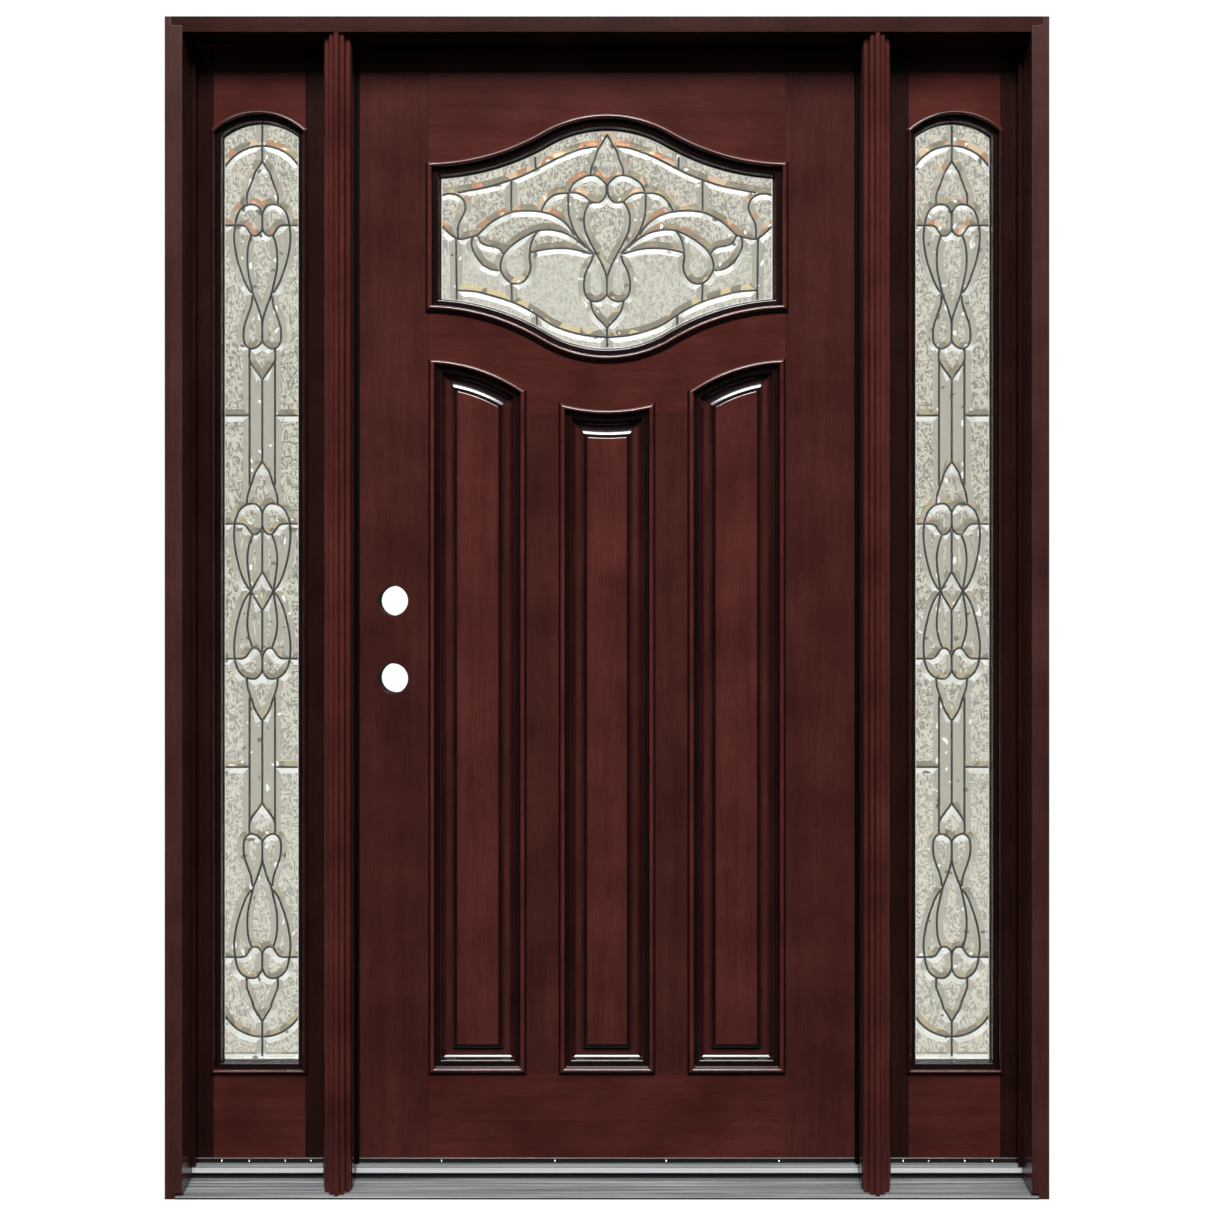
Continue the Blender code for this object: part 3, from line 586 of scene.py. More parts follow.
def leaded_glass_material():
    """Crinkled glass cells with a crisp bevel along every lead line.

    The mesh gives the distance from the lead, the way each bevel slopes and how much it glints;
    by its slope each bevel gets painted highlights, shade and warm reflections.
    """
    mat = Nodes("Leaded glass")
    lead, slope, crinkle, copper, straw, front = map(mat.attribute, PLATE_VALUES)
    space = mat.coords()
    strokes = None
    for angle, seed in STROKE_ANGLES:
        turned = mat.coords((1.0, 1.0, STROKE_LENGTH), (0.0, math.radians(angle), 0.0), "TEXTURE")
        layer = mat.noise(turned, 330.0, detail=1.0, roughness=0.6, distortion=0.5)
        if strokes is None:
            strokes = layer
        else:
            patches = mat.noise(space, 90.0 + seed, detail=0.0)
            strokes = mat.choose(patches, 0.46, 0.54, strokes, layer)
    smooth = mat.mix(mat.noise(space, 24.0, detail=1.0), CELL_SMOOTH, CELL_CLOUD)
    # Painted light and shade of the crinkle, darker where it is strongest
    rough = mat.stain(CELL, mat.ramp(strokes, STROKES))
    rough = mat.stain(rough, mat.ramp(crinkle, ((0.87, 1.0), (1.0, 0.93))))
    cell = mat.mix(crinkle, smooth, rough)
    facets = mat.noise(space, 27.0, detail=0.0)
    glints = mat.noise(space, 38.0, detail=0.0)
    flicks = mat.noise(space, 66.0, detail=0.0)
    # Painted warm reflections, highlights, shade, glints and shadows on the bevels, picked by
    # slope and noise
    warm = mat.choose(glints, 0.5, 0.52, COPPER_DEEP, COPPER_LIGHT)
    low = mat.mix(mat.times(copper, mat.step(facets, 0.49, 0.5)), BROWN_BAND, warm)
    low = mat.mix(mat.times(straw, mat.step(glints, 0.54, 0.55)), low, STRAW_BAND)
    high = mat.choose(facets, 0.54, 0.56, PALE, PALE_SHADE)
    band = mat.choose(slope, 0.42, 0.58, low, high)
    sideways = mat.ramp(slope, ((0.2, 0.0), (0.36, 1.0), (0.64, 1.0), (0.8, 0.0)))
    band = mat.mix(sideways, band, SIDE_BAND)
    band = mat.choose(flicks, 0.755, 0.765, band, GLINT)
    band = mat.choose(flicks, 0.23, 0.24, BAND_SHADOW, band)
    inside = mat.step(lead, 0.95, 0.985)
    tint = mat.mix(inside, band, cell)
    tint = mat.stain(tint, tint)
    mat.bump(mat.times(strokes, mat.times(inside, crinkle)), 0.5, 0.0009)
    mat.set(Base_Color=mat.mix(front, (1.0, 1.0, 1.0), tint), Transmission_Weight=1.0,
            Roughness=0.03, IOR=1.5)
    return mat.material


def clear_glass_material():
    mat = Nodes("Clear glass")
    mat.set(Base_Color=(0.96, 0.975, 0.96), Transmission_Weight=1.0, Roughness=0.0, IOR=1.5)
    return mat.material


def rubber_material():
    mat = Nodes("Black rubber")
    fine = mat.noise(mat.coords((600.0, 600.0, 600.0)), 1.0, detail=2.0)
    mat.bump(fine, 0.2)
    mat.set(Base_Color=mat.ramp(fine, ((0.3, 0.0015), (0.7, 0.003))),
            Roughness=mat.scaled(fine, 0.5, 0.75), Specular_IOR_Level=0.04)
    return mat.material


# Darkest and lightest tone of each stain
STILE_TONES = ((0.053, 0.0136, 0.0106), (0.093, 0.025, 0.02))
RAIL_TONES = ((0.068, 0.0148, 0.011), (0.118, 0.028, 0.0225))
PANEL_TONES = ((0.082, 0.0185, 0.0148), (0.138, 0.033, 0.0264))
JAMB_TONES = ((0.056, 0.0185, 0.0148), (0.094, 0.0325, 0.027))
HEAD_TONES = ((0.04, 0.0142, 0.0116), (0.066, 0.0245, 0.0205))
# A much darker copy of the upright stain: painted shade on the mullion posts, side stops and the
# sidelights' upright mouldings, and a darker tone on the sidelight stiles
SIDE_TONES = ((0.017, 0.0054, 0.0042), (0.028, 0.0092, 0.0074))
REED_TONES = ((0.068, 0.0158, 0.0124), (0.124, 0.0298, 0.0238))
# Dark glaze that also paints shade: the cast shadow on the mouldings' fillets at the sides and
# foot, their hollows, their faces past the bead on top and foot, and the shaded parts of the
# panels' edges
GLAZE_AND_SHADE_TONES = ((0.009, 0.0034, 0.003), (0.017, 0.0062, 0.0055))
# Painted shade: a darker copy for the faces past the hollow of the door's upright mouldings, the
# sidelights' upright beads and the panels' side bevels and risers
SHADED_TONES = ((0.031, 0.0078, 0.0062), (0.055, 0.0148, 0.012))
# Painted light: a lighter copy for the beads on the upright stretches of the door's mouldings
BEAD_TONES = ((0.09, 0.018, 0.0145), (0.155, 0.034, 0.0285))
JAMB_GLOSS = 0.22
HEAD_GLOSS = 0.12
WOOD_UP = wood("Mahogany upright", "Z", STILE_TONES, 1)
WOOD_ACROSS = wood("Mahogany across", "X", RAIL_TONES, 2)
WOOD_PANEL = wood("Mahogany panel", "Z", PANEL_TONES, 3)
WOOD_TRIM_UP = wood("Mahogany trim upright", "Z", STILE_TONES, 4)
WOOD_TRIM_ACROSS = wood("Mahogany trim across", "X", RAIL_TONES, 5)
WOOD_JAMB = wood("Mahogany jamb", "Z", JAMB_TONES, 6, JAMB_GLOSS)
WOOD_HEAD = wood("Mahogany head", "X", HEAD_TONES, 7, HEAD_GLOSS)
WOOD_REED = wood("Mahogany reeds", "Z", REED_TONES, 8, HEAD_GLOSS)
WOOD_SIDE = wood("Dark mahogany", "Z", SIDE_TONES, 9)
WOOD_GLAZE_AND_SHADE = wood("Glazed mahogany with painted shade", "Z", GLAZE_AND_SHADE_TONES, 10)
WOOD_SHADED = wood("Shaded mahogany", "Z", SHADED_TONES, 11)
WOOD_BEAD = wood("Mahogany bead", "Z", BEAD_TONES, 12)
MILL_ALUMINIUM = metal("Mill aluminium", (0.24, 0.242, 0.25), 0.5, True, 0.3, 0.42, 150)
BRIGHT_ALUMINIUM = metal("Bright aluminium", (0.9, 0.9, 0.89), 0.2, True, spread=0.05)
RISER_ALUMINIUM = metal("Satin aluminium", (0.83, 0.85, 0.87), 0.42, True, 0.2, 0.09)
# Painted shade: a darker, mottled aluminium for the riser's rounded lip and top
SHADED_LIP_ALUMINIUM = metal("Aluminium with painted shade", (0.2, 0.204, 0.208), 0.6, True, 0.0, 0.3, 160)
# Painted shade: dark metal for the sill's front face, the deck under the riser's lip, and the web
# and underside of the lip
PAINTED_GAP_SHADE = metal("Painted gap shade", (0.018, 0.018, 0.019), 0.6, True, 0.3, 0.2)
BRONZE = shoe_material()
BRASS = metal("Aged brass", (0.36, 0.26, 0.12), 0.33, False, spread=0.25)
LEAD = metal("Lead came", (0.028, 0.028, 0.026), 0.5, False, 0.4, 0.3)
STEEL = metal("Screw steel", (0.75, 0.75, 0.74), 0.25, False, spread=0.08)
RUBBER = rubber_material()
LEADED_GLASS = leaded_glass_material()
CLEAR_GLASS = clear_glass_material()


# CAD boards that keep their shape: softened edges and wood

EDGE = 0.0006
FINE_EDGE = 0.0002
BULB_EDGE = 0.0018
WELD_REACH = 0.00001


def dress(name, material, radius, segments=2):
    """Give a CAD node its material and slightly rounded edges."""
    obj = NODES[name]
    for slot in obj.material_slots:
        slot.material = material
    weld = obj.modifiers.new("Weld", "WELD")
    weld.merge_threshold = WELD_REACH
    if not radius:
        return
    bevel = obj.modifiers.new("Rounded edges", "BEVEL")
    bevel.width = radius
    bevel.segments = segments
    bevel.limit_method = "ANGLE"
    bevel.angle_limit = math.radians(40)
    normals = obj.modifiers.new("Even normals", "WEIGHTED_NORMAL")
    normals.weight = 80


# The finish, the rounding and the nodes that have them, {} being left and right
BOARDS = (
    (WOOD_UP, FINE_EDGE, "lock_stile hinge_stile"),
    (WOOD_UP, 0.0, "muntin_{}"),
    (WOOD_ACROSS, 0.0, "top_rail lock_rail bottom_rail"),
    (WOOD_ACROSS, 0.0, "sidelight_{}_top_rail sidelight_{}_bottom_rail"),
    (WOOD_ACROSS, EDGE, "sidelight_stop_top_{}"),
    (WOOD_JAMB, EDGE, "jamb_{}"),
    (WOOD_HEAD, EDGE, "head_jamb"),
    # Painted shade on the mullion posts and side stops, a darker tone on the sidelight stiles
    (WOOD_SIDE, EDGE, "mullion_post_{} sidelight_stop_side_{}"),
    (WOOD_SIDE, FINE_EDGE, "sidelight_{}_stile_inner sidelight_{}_stile_outer"),
    (BRONZE, FINE_EDGE, "door_shoe sidelight_{}_shoe"),
)


def dress_boards():
    for material, radius, names in BOARDS:
        for name in names.split():
            for node in {name.format(hand): None for _, hand in SIDES}:
                dress(node, material, radius)
    dress("weatherstrip", RUBBER, BULB_EDGE, 3)
    for level in ("bottom", "middle", "top"):
        for part in ("frame", "door"):
            dress(f"hinge_{level}_{part}_leaf", BRASS, FINE_EDGE)


# Mouldings, panels and reeded covers

# Materials for trim_paint: the grains upright and across, the dark glaze with painted shade, a
# darker copy as painted shade, and a lighter copy for the door's upright beads as painted light
TRIM = (WOOD_TRIM_UP, WOOD_TRIM_ACROSS, WOOD_GLAZE_AND_SHADE, WOOD_SHADED, WOOD_BEAD)
# On the sidelights the upright faces past the hollow take the darker side stain and the upright
# beads the darker copy, both as painted shade
SIDE_TRIM = (WOOD_SIDE, WOOD_TRIM_ACROSS, WOOD_GLAZE_AND_SHADE, WOOD_SIDE, WOOD_SHADED)
# Panels: the field, the dark glaze with painted shade, the darker copy as painted shade, and the
# upright stain for the margins at the sides
PANEL_WOODS = (WOOD_PANEL, WOOD_GLAZE_AND_SHADE, WOOD_SHADED, WOOD_TRIM_UP)


def trim_paint(scale):
    """Grain along each stretch of a moulding, dark glaze with painted shade past the bead and in
    the hollows, a painted cast shadow on the fillet at the sides and foot, and painted light and
    shade on the upright stretches.
    """
    def paint(inset, stretch):
        spot = inset / scale
        if stretch == "side":
            if spot < FILLET_WIDTH or GLAZE_AND_SHADE_START < spot < GLAZE_AND_SHADE_END:
                return 2
            return 4 if spot < GLAZE_AND_SHADE_START else 3
        # Painted cast shadow under the bead, on the fillet at the foot
        if stretch == "foot" and spot < FILLET_WIDTH:
            return 2
        return 2 if spot > GLAZE_AND_SHADE_START else 1
    return paint


def panel_paint(inset, stretch):
    """Painted shade around the raised field: the dark glaze on the whole top stretch, where the
    moulding's shadow falls, on the bevel, riser and land at the foot and the land at the sides,
    and a darker copy on the bevel and riser at the sides; the margins at the sides and foot stay
    lighter.
    """
    if inset > PANEL_LAND_END:
        return 0
    if inset < PANEL_MARGIN_END and stretch != "top":
        return 3 if stretch == "side" else 0
    if inset < PANEL_RISER_END and stretch == "side":
        return 2
    return 1


def make_moulding_pair(pattern, body, outline, section, woods, paint):
    """The same moulding outside and inside."""
    for label, turned in (("front", on_front(section)), ("back", on_back(section))):
        node = pattern.format(label)
        moulding = loft(f"fine_{node}", outline, turned, True, woods, paint)
        place(moulding, body, "mahogany", node)


def make_mouldings():
    section = seated_section(PANEL_RECESS)
    face = panel_face()
    whole = on_front(face) + on_back(face)[::-1]
    paint = trim_paint(1.0)
    for where, outline in (("left", side_panel_outline(-1)), ("centre", centre_panel_outline),
                           ("right", side_panel_outline(1))):
        make_moulding_pair("panel_moulding_{}_" + where, "door", outline, section, TRIM, paint)
        panel = loft(f"fine_panel_{where}", outline, whole, False, PANEL_WOODS, panel_paint, 20.0)
        place(panel, "door", "mahogany", f"panel_{where}")
    section = lapped_section(MOULDING_WIDTH, GLASS_RECESS)
    make_moulding_pair("lite_moulding_{}", "door", lite_outline, section, TRIM, paint)
    section = lapped_section(SIDE_MOULDING_WIDTH, GLASS_RECESS)
    paint = trim_paint(SIDE_MOULDING_WIDTH / MOULDING_WIDTH)
    for side, hand in SIDES:
        make_moulding_pair("sidelight_" + hand + "_moulding_{}", "frame",
                           side_lite_outline(side), section, SIDE_TRIM, paint)


REED_STEPS = 14
REED_HALF_ANGLE = math.radians(72)
REEDS_EACH_SIDE = 2
COVER_THICK = 0.021
COVER_CROWN = 0.013
COVER_FALL = 1.5
POST_FOOT = 0.007
POST_FOOT_BACK = 0.0151
SILL_DECK = 0.058


def make_covers():
    """Reeded mullion covers: round reeds that step back from the middle one."""
    for side, hand in SIDES:
        low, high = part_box(f"mullion_cover_{hand}")
        back = FRONT + COVER_THICK
        count = 2 * REEDS_EACH_SIDE + 1
        radius = (high.x - low.x) / (2 * count)
        points = [(low.x, back)]
        for reed in range(-REEDS_EACH_SIDE, REEDS_EACH_SIDE + 1):
            drop = COVER_CROWN * (abs(reed) / REEDS_EACH_SIDE) ** COVER_FALL
            centre = ((low.x + high.x) / 2 + 2 * radius * reed, FRONT + radius + drop)
            crest = -math.pi / 2
            points += arc_points(centre, radius, crest - REED_HALF_ANGLE, crest + REED_HALF_ANGLE,
                                 REED_STEPS)
        points.append((high.x, back))
        slope = (POST_FOOT_BACK - POST_FOOT) / SILL_DECK
        foot = [(x, y, POST_FOOT + (y - FRONT) * slope) for x, y in points]
        head = [(x, y, high.z) for x, y in points]
        cover = prism(f"fine_mullion_cover_{hand}", foot, head, (WOOD_REED,))
        place(cover, "frame", "mahogany", f"mullion_cover_{hand}")


# Leaded glass

CAME_HALF = 0.0021
CAME_HALF_DEPTH = 0.0027
CAME_SIDES = 8
CAME_SHARP = 80.0
BEVEL_WIDTH = 0.0098
BEVEL_DEPTH = 0.0024
GLASS_FRONT = SLAB_FRONT + GLASS_RECESS
GLASS_BACK = BACK - GLASS_RECESS
PANE_THICK = 0.003
PLATE_BACK = 0.0373
PLATE_AT_CAME = 0.0343
CAME_MIDDLE = 0.0357
EDGE_INSET = 0.008
SPACER_INNER = 0.0284
SIDE_SPACER_INNER = 0.0219
GRID = 0.0017
# Height of the sidelights' foot strip, whose bevel gets a painted highlight
PALE_FOOT = 0.0075
SAMPLE = 0.0028
FINE_SAMPLE = 0.0008
WIDTH_SAMPLES = 40
BEVEL_START = 0.8 * CAME_HALF
SHIVER = 0.00022
SHIVER_WAVES = ((160.0, 0.4, 1.0), (420.0, 5.4, 0.5))

# Lead lines of the door lite's left half, in mm from the middle of the glass
DOOR_MIDDLE = 1.6969
DOOR_LINES = (
    ((-17, 170.5), (-41, 167), (-63, 160), (-92, 148), (-127, 130), (-150, 119), (-173, 110),
     (-208, 99), (-237, 93), (-270, 87)),
    ((-130, 151), (-129, 130)),
    ((-173, 110), (-173, 54)),
    ((0, 192), (-10, 174), (-18, 161), (-22, 147), (-28, 133), (-30, 120)),
    ((-1, 100), (-6, 107), (-17, 116), (-31, 118), (-47, 113), (-61, 103), (-69, 89)),
    ((-69, 87), (-54, 86), (-40, 80), (-29, 71), (-15, 69), (-5, 77), (-1, 89)),
    ((-1, 100), (-1, 89)),
    ((-70, 86), (-70, 61), (-68, 43), (-62, 24), (-54, 8), (-42, -6), (-25, -24)),
    ((-29, 71), (-36, 61), (-41, 47), (-41.5, 33), (-39, 17), (-33, 3), (-26, -11), (-17, -27),
     (-8, -45), (-1, -64), (0, -73)),
    ((-25, -27), (-30, -41), (-38, -57), (-41.5, -73), (-41.5, -87), (-38, -100), (-30, -108),
     (-19, -110), (-8, -106), (-1, -99)),
    ((0, -73), (0, -99)),
    ((-30, -109), (-28, -119), (-25, -128), (-17, -140), (-8, -149), (0, -158)),
    ((0, -158), (0, -193)),
    ((-70, 86), (-86, 85), (-100, 80), (-112, 68), (-119, 54)),
    ((-59, 10), (-70, 26), (-86, 40), (-105, 49), (-128, 53), (-151, 54), (-174, 51), (-193, 43),
     (-211, 32), (-225, 19), (-235, 10), (-253, 5), (-270, 3), (-285, 13), (-298, 26)),
    ((-235, 10), (-227, -4), (-216, -9), (-200, -12), (-191, -18), (-188, -24)),
    ((-243, 8), (-245, -8), (-239, -24), (-227, -41), (-211, -51), (-195, -54)),
    ((-38, -13), (-54, 1), (-72, 12), (-91, 18), (-109, 20), (-128, 17), (-146, 9), (-165, -3),
     (-181, -17), (-190, -32), (-193, -48), (-188, -62), (-179, -73), (-167, -78), (-153, -75),
     (-143, -64), (-138, -48), (-140, -32), (-139, -15), (-135, 1), (-126, 17)),
    ((-139, -22), (-119, -17), (-96, -14), (-72, -14), (-49, -18), (-29, -24)),
    ((-298, 82), (-287, 85), (-273, 83), (-261, 75), (-256, 61), (-260, 47), (-267, 33),
     (-270, 19), (-269, 4)),
    ((-273, 3), (-272, -108)),
    ((-270, -90), (-239, -92), (-206, -100), (-174, -110), (-146, -123), (-126, -135),
     (-100, -152), (-72, -163), (-40, -171), (0, -175)),
    ((-173, -78), (-172, -110)),
    ((-127, -135), (-127, -153)),
)

# Lead lines of a sidelight's upper left quarter, in mm from the middle of its pattern
SIDE_MIDDLE = 1.0625
SIDE_LINES = (
    ((0, 841), (0, 779)),
    ((0, 779), (-7, 767), (-14, 756), (-18, 743), (-24, 728), (-28, 716), (-28, 701)),
    ((0, 683), (-5, 693), (-12, 699), (-23, 700), (-33, 696), (-42, 687), (-47, 673), (-49, 662)),
    ((0, 683), (0, 659)),
    ((-72, 662), (-36, 662)),
    ((-36, 662), (-29, 659), (-23, 650), (-18, 644), (-9, 644), (-2, 651), (0, 659)),
    ((-49, 662), (-51, 641), (-49, 620), (-44, 596), (-36, 572), (-29, 554), (-20, 540)),
    ((-20, 643), (-25, 626), (-27, 605), (-26, 581), (-21, 557), (-16, 536), (-8, 515), (-1, 491),
     (0, 479)),
    ((0, 479), (0, 453)),
    ((-18, 534), (-20, 518), (-26, 500), (-32, 482), (-34, 464), (-32, 449), (-24, 440),
     (-14, 440), (-5, 446), (0, 453)),
    ((-23, 438), (-23, 419), (-15, 404), (-6, 392), (0, 383)),
    ((-23, 419), (-23, 191)),
    ((0, 383), (0, 235)),
    ((-72, 318), (-23, 318)),
    ((0, 235), (-8, 223), (-14, 212), (-18, 199), (-24, 182), (-27, 170), (-28, 158)),
    ((0, 142), (-5, 152), (-12, 158), (-23, 158), (-33, 154), (-42, 145), (-48, 131), (-50, 122)),
    ((0, 142), (0, 119)),
    ((-72, 122), (-36, 122)),
    ((-36, 122), (-29, 118), (-23, 109), (-17, 103), (-9, 104), (-3, 111), (0, 119)),
    ((0, 110), (0, 35)),
    ((-50, 122), (-51, 98), (-48, 71), (-42, 44), (-35, 23), (-27, 8), (-20, 0)),
    ((-18, 101), (-24, 83), (-27, 62), (-26, 41), (-23, 20), (-20, 0)),
    ((0, 35), (-9, 20), (-20, 0)),
)
SIDE_ARCH_CAME = 0.0781
SIDE_ARCH_TOP = 0.806
SIDE_ARCH_TURN = math.radians(66)
SIDE_ARCH_STEPS_CAME = 12

# How rough the glass is and where its painted warm reflections fall: a height and the width of
# the change above it
DOOR_ROUGH = (DOOR_MIDDLE - 0.04, 0.03)
DOOR_COPPER = (DOOR_MIDDLE, 0.03)
DOOR_RIGHT = (0.0, 0.05)
SIDE_ROUGH = (0.74, 0.2)
SIDE_CALM = (1.5, 0.06)
SIDE_COPPER = (SIDE_MIDDLE + 0.55, 0.05)
SIDE_STRAW = 0.35


def curve_through(points, step):
    """Points at a steady spacing on a smooth curve, or a straight line, through some points."""
    knots = [Vector(point) for point in points]
    knots = [2 * knots[0] - knots[1]] + knots + [2 * knots[-1] - knots[-2]]
    path = []
    for index in range(1, len(knots) - 2):
        before, start, end, after = knots[index - 1:index + 3]
        count = max(1, round((end - start).length / step))
        for part in range(count):
            t = part / count
            path.append(0.5 * (2 * start + (end - before) * t
                               + (2 * before - 5 * start + 4 * end - after) * t * t
                               + (3 * start - before - 3 * end + after) * t * t * t))
    path.append(knots[-2])
    return path


def tube_along(paths, depth):
    """Vertices and faces of an oval bar along each path, with rounded ends."""
    verts = []
    faces = []
    for path in paths:
        rows = []
        last = len(path) - 1
        for index, point in enumerate(path):
            heading = (path[min(index + 1, last)] - path[max(index - 1, 0)]).normalized()
            normal = Vector((-heading.y, heading.x))
            row = []
            for side in range(CAME_SIDES):
                angle = 2 * math.pi * (side + 0.5) / CAME_SIDES
                across = normal * (CAME_HALF * math.cos(angle))
                row.append(len(verts))
                verts.append((point.x + across.x, depth + CAME_HALF_DEPTH * math.sin(angle),
                              point.y + across.y))
            rows.append(row)
        for low, high in zip(rows, rows[1:]):
            for side in range(CAME_SIDES):
                after = (side + 1) % CAME_SIDES
                faces.append((low[side], low[after], high[after], high[side]))
        faces.append(tuple(rows[0]))
        faces.append(tuple(reversed(rows[-1])))
    return verts, faces


def smooth_paths(lines, step, signs):
    """Smooth curves through the lines and through their mirror images."""
    curves = [curve_through(line, step) for line in lines]
    paths = []
    for across, up in signs:
        for curve in curves:
            if across < 0 and all(abs(point.x) < ON_AXIS for point in curve):
                continue
            paths.append([Vector((across * point.x, up * point.y)) for point in curve])
    return paths


def leaded_plate(name, columns, bottom, top, paths, looks):
    """Glass plate with a bevel along every lead line, as a fine grid over a flat back.

    looks gives the crinkle and the shares of painted copper and straw reflections of a place, and
    whether its bevel gets a painted highlight.
    """
    points = [point for path in paths for point in path]
    tree = kdtree.KDTree(len(points))
    for index, point in enumerate(points):
        tree.insert((point.x, point.y, 0.0), index)
    tree.balance()
    verts = []
    values = []
    left, right = columns
    across = math.ceil((right - left) / GRID)
    spread = [left + (right - left) * index / WIDTH_SAMPLES for index in range(WIDTH_SAMPLES + 1)]
    upward = math.ceil(max(top(x) - bottom(x) for x in spread) / GRID)
    for column in range(across + 1):
        x = left + (right - left) * column / across
        low = bottom(x)
        high = top(x)
        for row in range(upward + 1):
            z = low + (high - low) * row / upward
            spot, _, distance = tree.find((x, z, 0.0))
            crinkle, copper, straw, pale = looks(x, z)
            share = (distance - BEVEL_START) / BEVEL_WIDTH
            depth = PLATE_AT_CAME - BEVEL_DEPTH * min(max(share, 0.0), 1.0)
            if share >= 1.0:
                for pitch, seed, part in SHIVER_WAVES:
                    wave = noise.noise(Vector((x * pitch, z * pitch, seed)))
                    depth -= SHIVER * crinkle * part * wave
            verts.append((x, depth, z))
            rise = (spot.y - z) / max(distance, 0.0001)
            # A pale bevel is a painted highlight, whatever way it slopes
            slope = 1.0 if pale else 0.5 + 0.5 * rise
            values.append((share, slope, crinkle, copper, straw, 1.0))
    tall = upward + 1
    faces = []
    for column in range(across):
        for row in range(upward):
            start = column * tall + row
            faces.append((start, start + tall, start + tall + 1, start + 1))
    rim = [column * tall for column in range(across + 1)]
    rim += [across * tall + row for row in range(1, tall)]
    rim += [column * tall + upward for column in range(across - 1, -1, -1)]
    rim += range(upward - 1, 0, -1)
    base = len(verts)
    size = len(rim)
    verts += [(verts[index][0], PLATE_BACK, verts[index][2]) for index in rim]
    values += [(0.0,) * len(PLATE_VALUES)] * size
    for index in range(size):
        after = (index + 1) % size
        faces.append((rim[after], rim[index], base + index, base + after))
    faces.append(tuple(range(base, base + size)))
    mesh = bpy.data.meshes.new(name)
    mesh.from_pydata(verts, [], faces)
    mesh.materials.append(LEADED_GLASS)
    for key, series in zip(PLATE_VALUES, zip(*values)):
        mesh.attributes.new(key, "FLOAT", "POINT").data.foreach_set("value", series)
    smooth = [True] * (across * upward) + [False] * (size + 1)
    mesh.polygons.foreach_set("use_smooth", smooth)
    mesh.update()
    return link_mesh(name, mesh)


def step_up(value, start, width):
    """0 below a start, 1 past a width above it."""
    return min(max((value - start) / width, 0.0), 1.0)


def height_of(outline):
    """A function that gives an outline's height at any distance across."""
    points = sorted(outline)

    def height(x):
        if x <= points[0][0]:
            return points[0][1]
        for (x0, z0), (x1, z1) in zip(points, points[1:]):
            if x <= x1:
                return z0 + (z1 - z0) * (x - x0) / max(x1 - x0, TINY)
        return points[-1][1]
    return height


def make_unit(prefix, body, outline, spacer_inner, plate, paths):
    """A sealed unit: the leaded plate, its lead lines, two clear panes and their spacer."""
    verts, faces = tube_along(paths, CAME_MIDDLE)
    cames = new_object(f"{prefix}_lead_lines", verts, faces, (LEAD,), sharp_angle=CAME_SHARP)
    parts = [plate, cames]
    near = (GLASS_FRONT, GLASS_FRONT + PANE_THICK)
    far = (GLASS_BACK - PANE_THICK, GLASS_BACK)
    for label, (start, end) in (("outer", near), ("inner", far)):
        section = [(EDGE_INSET, start), (EDGE_INSET, end)]
        parts.append(loft(f"{prefix}_pane_{label}", outline, section, False, (CLEAR_GLASS,)))
    start = near[1] + SEAT
    end = far[0] - SEAT
    section = [(EDGE_INSET, start), (spacer_inner, start), (spacer_inner, end), (EDGE_INSET, end)]
    parts.append(loft(f"{prefix}_spacer", outline, section, True, (BRIGHT_ALUMINIUM,)))
    for part in parts:
        place(part, body, "glass_unit", f"{prefix}_glass")


def make_door_glass():
    inset = SPACER_INNER + SEAT
    reach = LITE_HALF - inset
    lines = [[(x / 1000, DOOR_MIDDLE + z / 1000) for x, z in line] for line in DOOR_LINES]
    signs = ((1, 1), (-1, 1))
    paths = smooth_paths(lines, FINE_SAMPLE, signs)

    # Painted warm reflections on the door: copper above its middle, straw mostly below
    def looks(x, z):
        upper = step_up(z, *DOOR_ROUGH)
        crinkle = 0.35 + 0.5 * upper + 0.15 * step_up(x, *DOOR_RIGHT) * (1.0 - upper)
        return crinkle, step_up(z, *DOOR_COPPER), 0.8 - 0.6 * upper, False

    plate = leaded_plate("door_leaded_plate", (-reach, reach), height_of(lite_bottom(inset)),
                         height_of(lite_top(inset)), paths, looks)
    make_unit("door", "door", lite_outline, SPACER_INNER, plate,
              smooth_paths(lines, SAMPLE, signs))


def make_side_glass(side, hand):
    outline = side_lite_outline(side)
    inset = SIDE_SPACER_INNER + SEAT
    middle = side * SIDE_CENTRE
    reach = SIDE_LITE_HALF - inset
    foot = RAIL_TOP + inset
    lines = [[(x / 1000, z / 1000) for x, z in line] for line in SIDE_LINES]
    signs = ((1, 1), (-1, 1), (1, -1), (-1, -1))
    arch = arc_points((0.0, SIDE_ARCH_TOP - SIDE_ARCH_CAME), SIDE_ARCH_CAME, math.pi / 2,
                      math.pi / 2 + SIDE_ARCH_TURN, SIDE_ARCH_STEPS_CAME)

    def all_paths(step):
        paths = smooth_paths(lines, step, signs) + smooth_paths([arch], step, signs)
        return [[Vector((point.x + middle, point.y + SIDE_MIDDLE)) for point in path]
                for path in paths]

    def looks(x, z):
        crinkle = 0.75 + 0.25 * step_up(z, *SIDE_ROUGH) - 0.15 * step_up(z, *SIDE_CALM)
        # Painted highlight on the foot strip's bevel
        return crinkle, step_up(z, *SIDE_COPPER), SIDE_STRAW, z < foot + PALE_FOOT

    foot_line = ((middle - SIDE_LITE_HALF, foot), (middle + SIDE_LITE_HALF, foot))
    paths = all_paths(FINE_SAMPLE) + [curve_through(foot_line, FINE_SAMPLE)]
    arch_alone = outline(inset)[:-2]
    prefix = f"sidelight_{hand}"
    plate = leaded_plate(f"{prefix}_leaded_plate", (middle - reach, middle + reach),
                         lambda x: foot, height_of(arch_alone), paths, looks)
    make_unit(prefix, "frame", outline, SIDE_SPACER_INNER, plate, all_paths(SAMPLE))


# Sill, risers and shoe screws

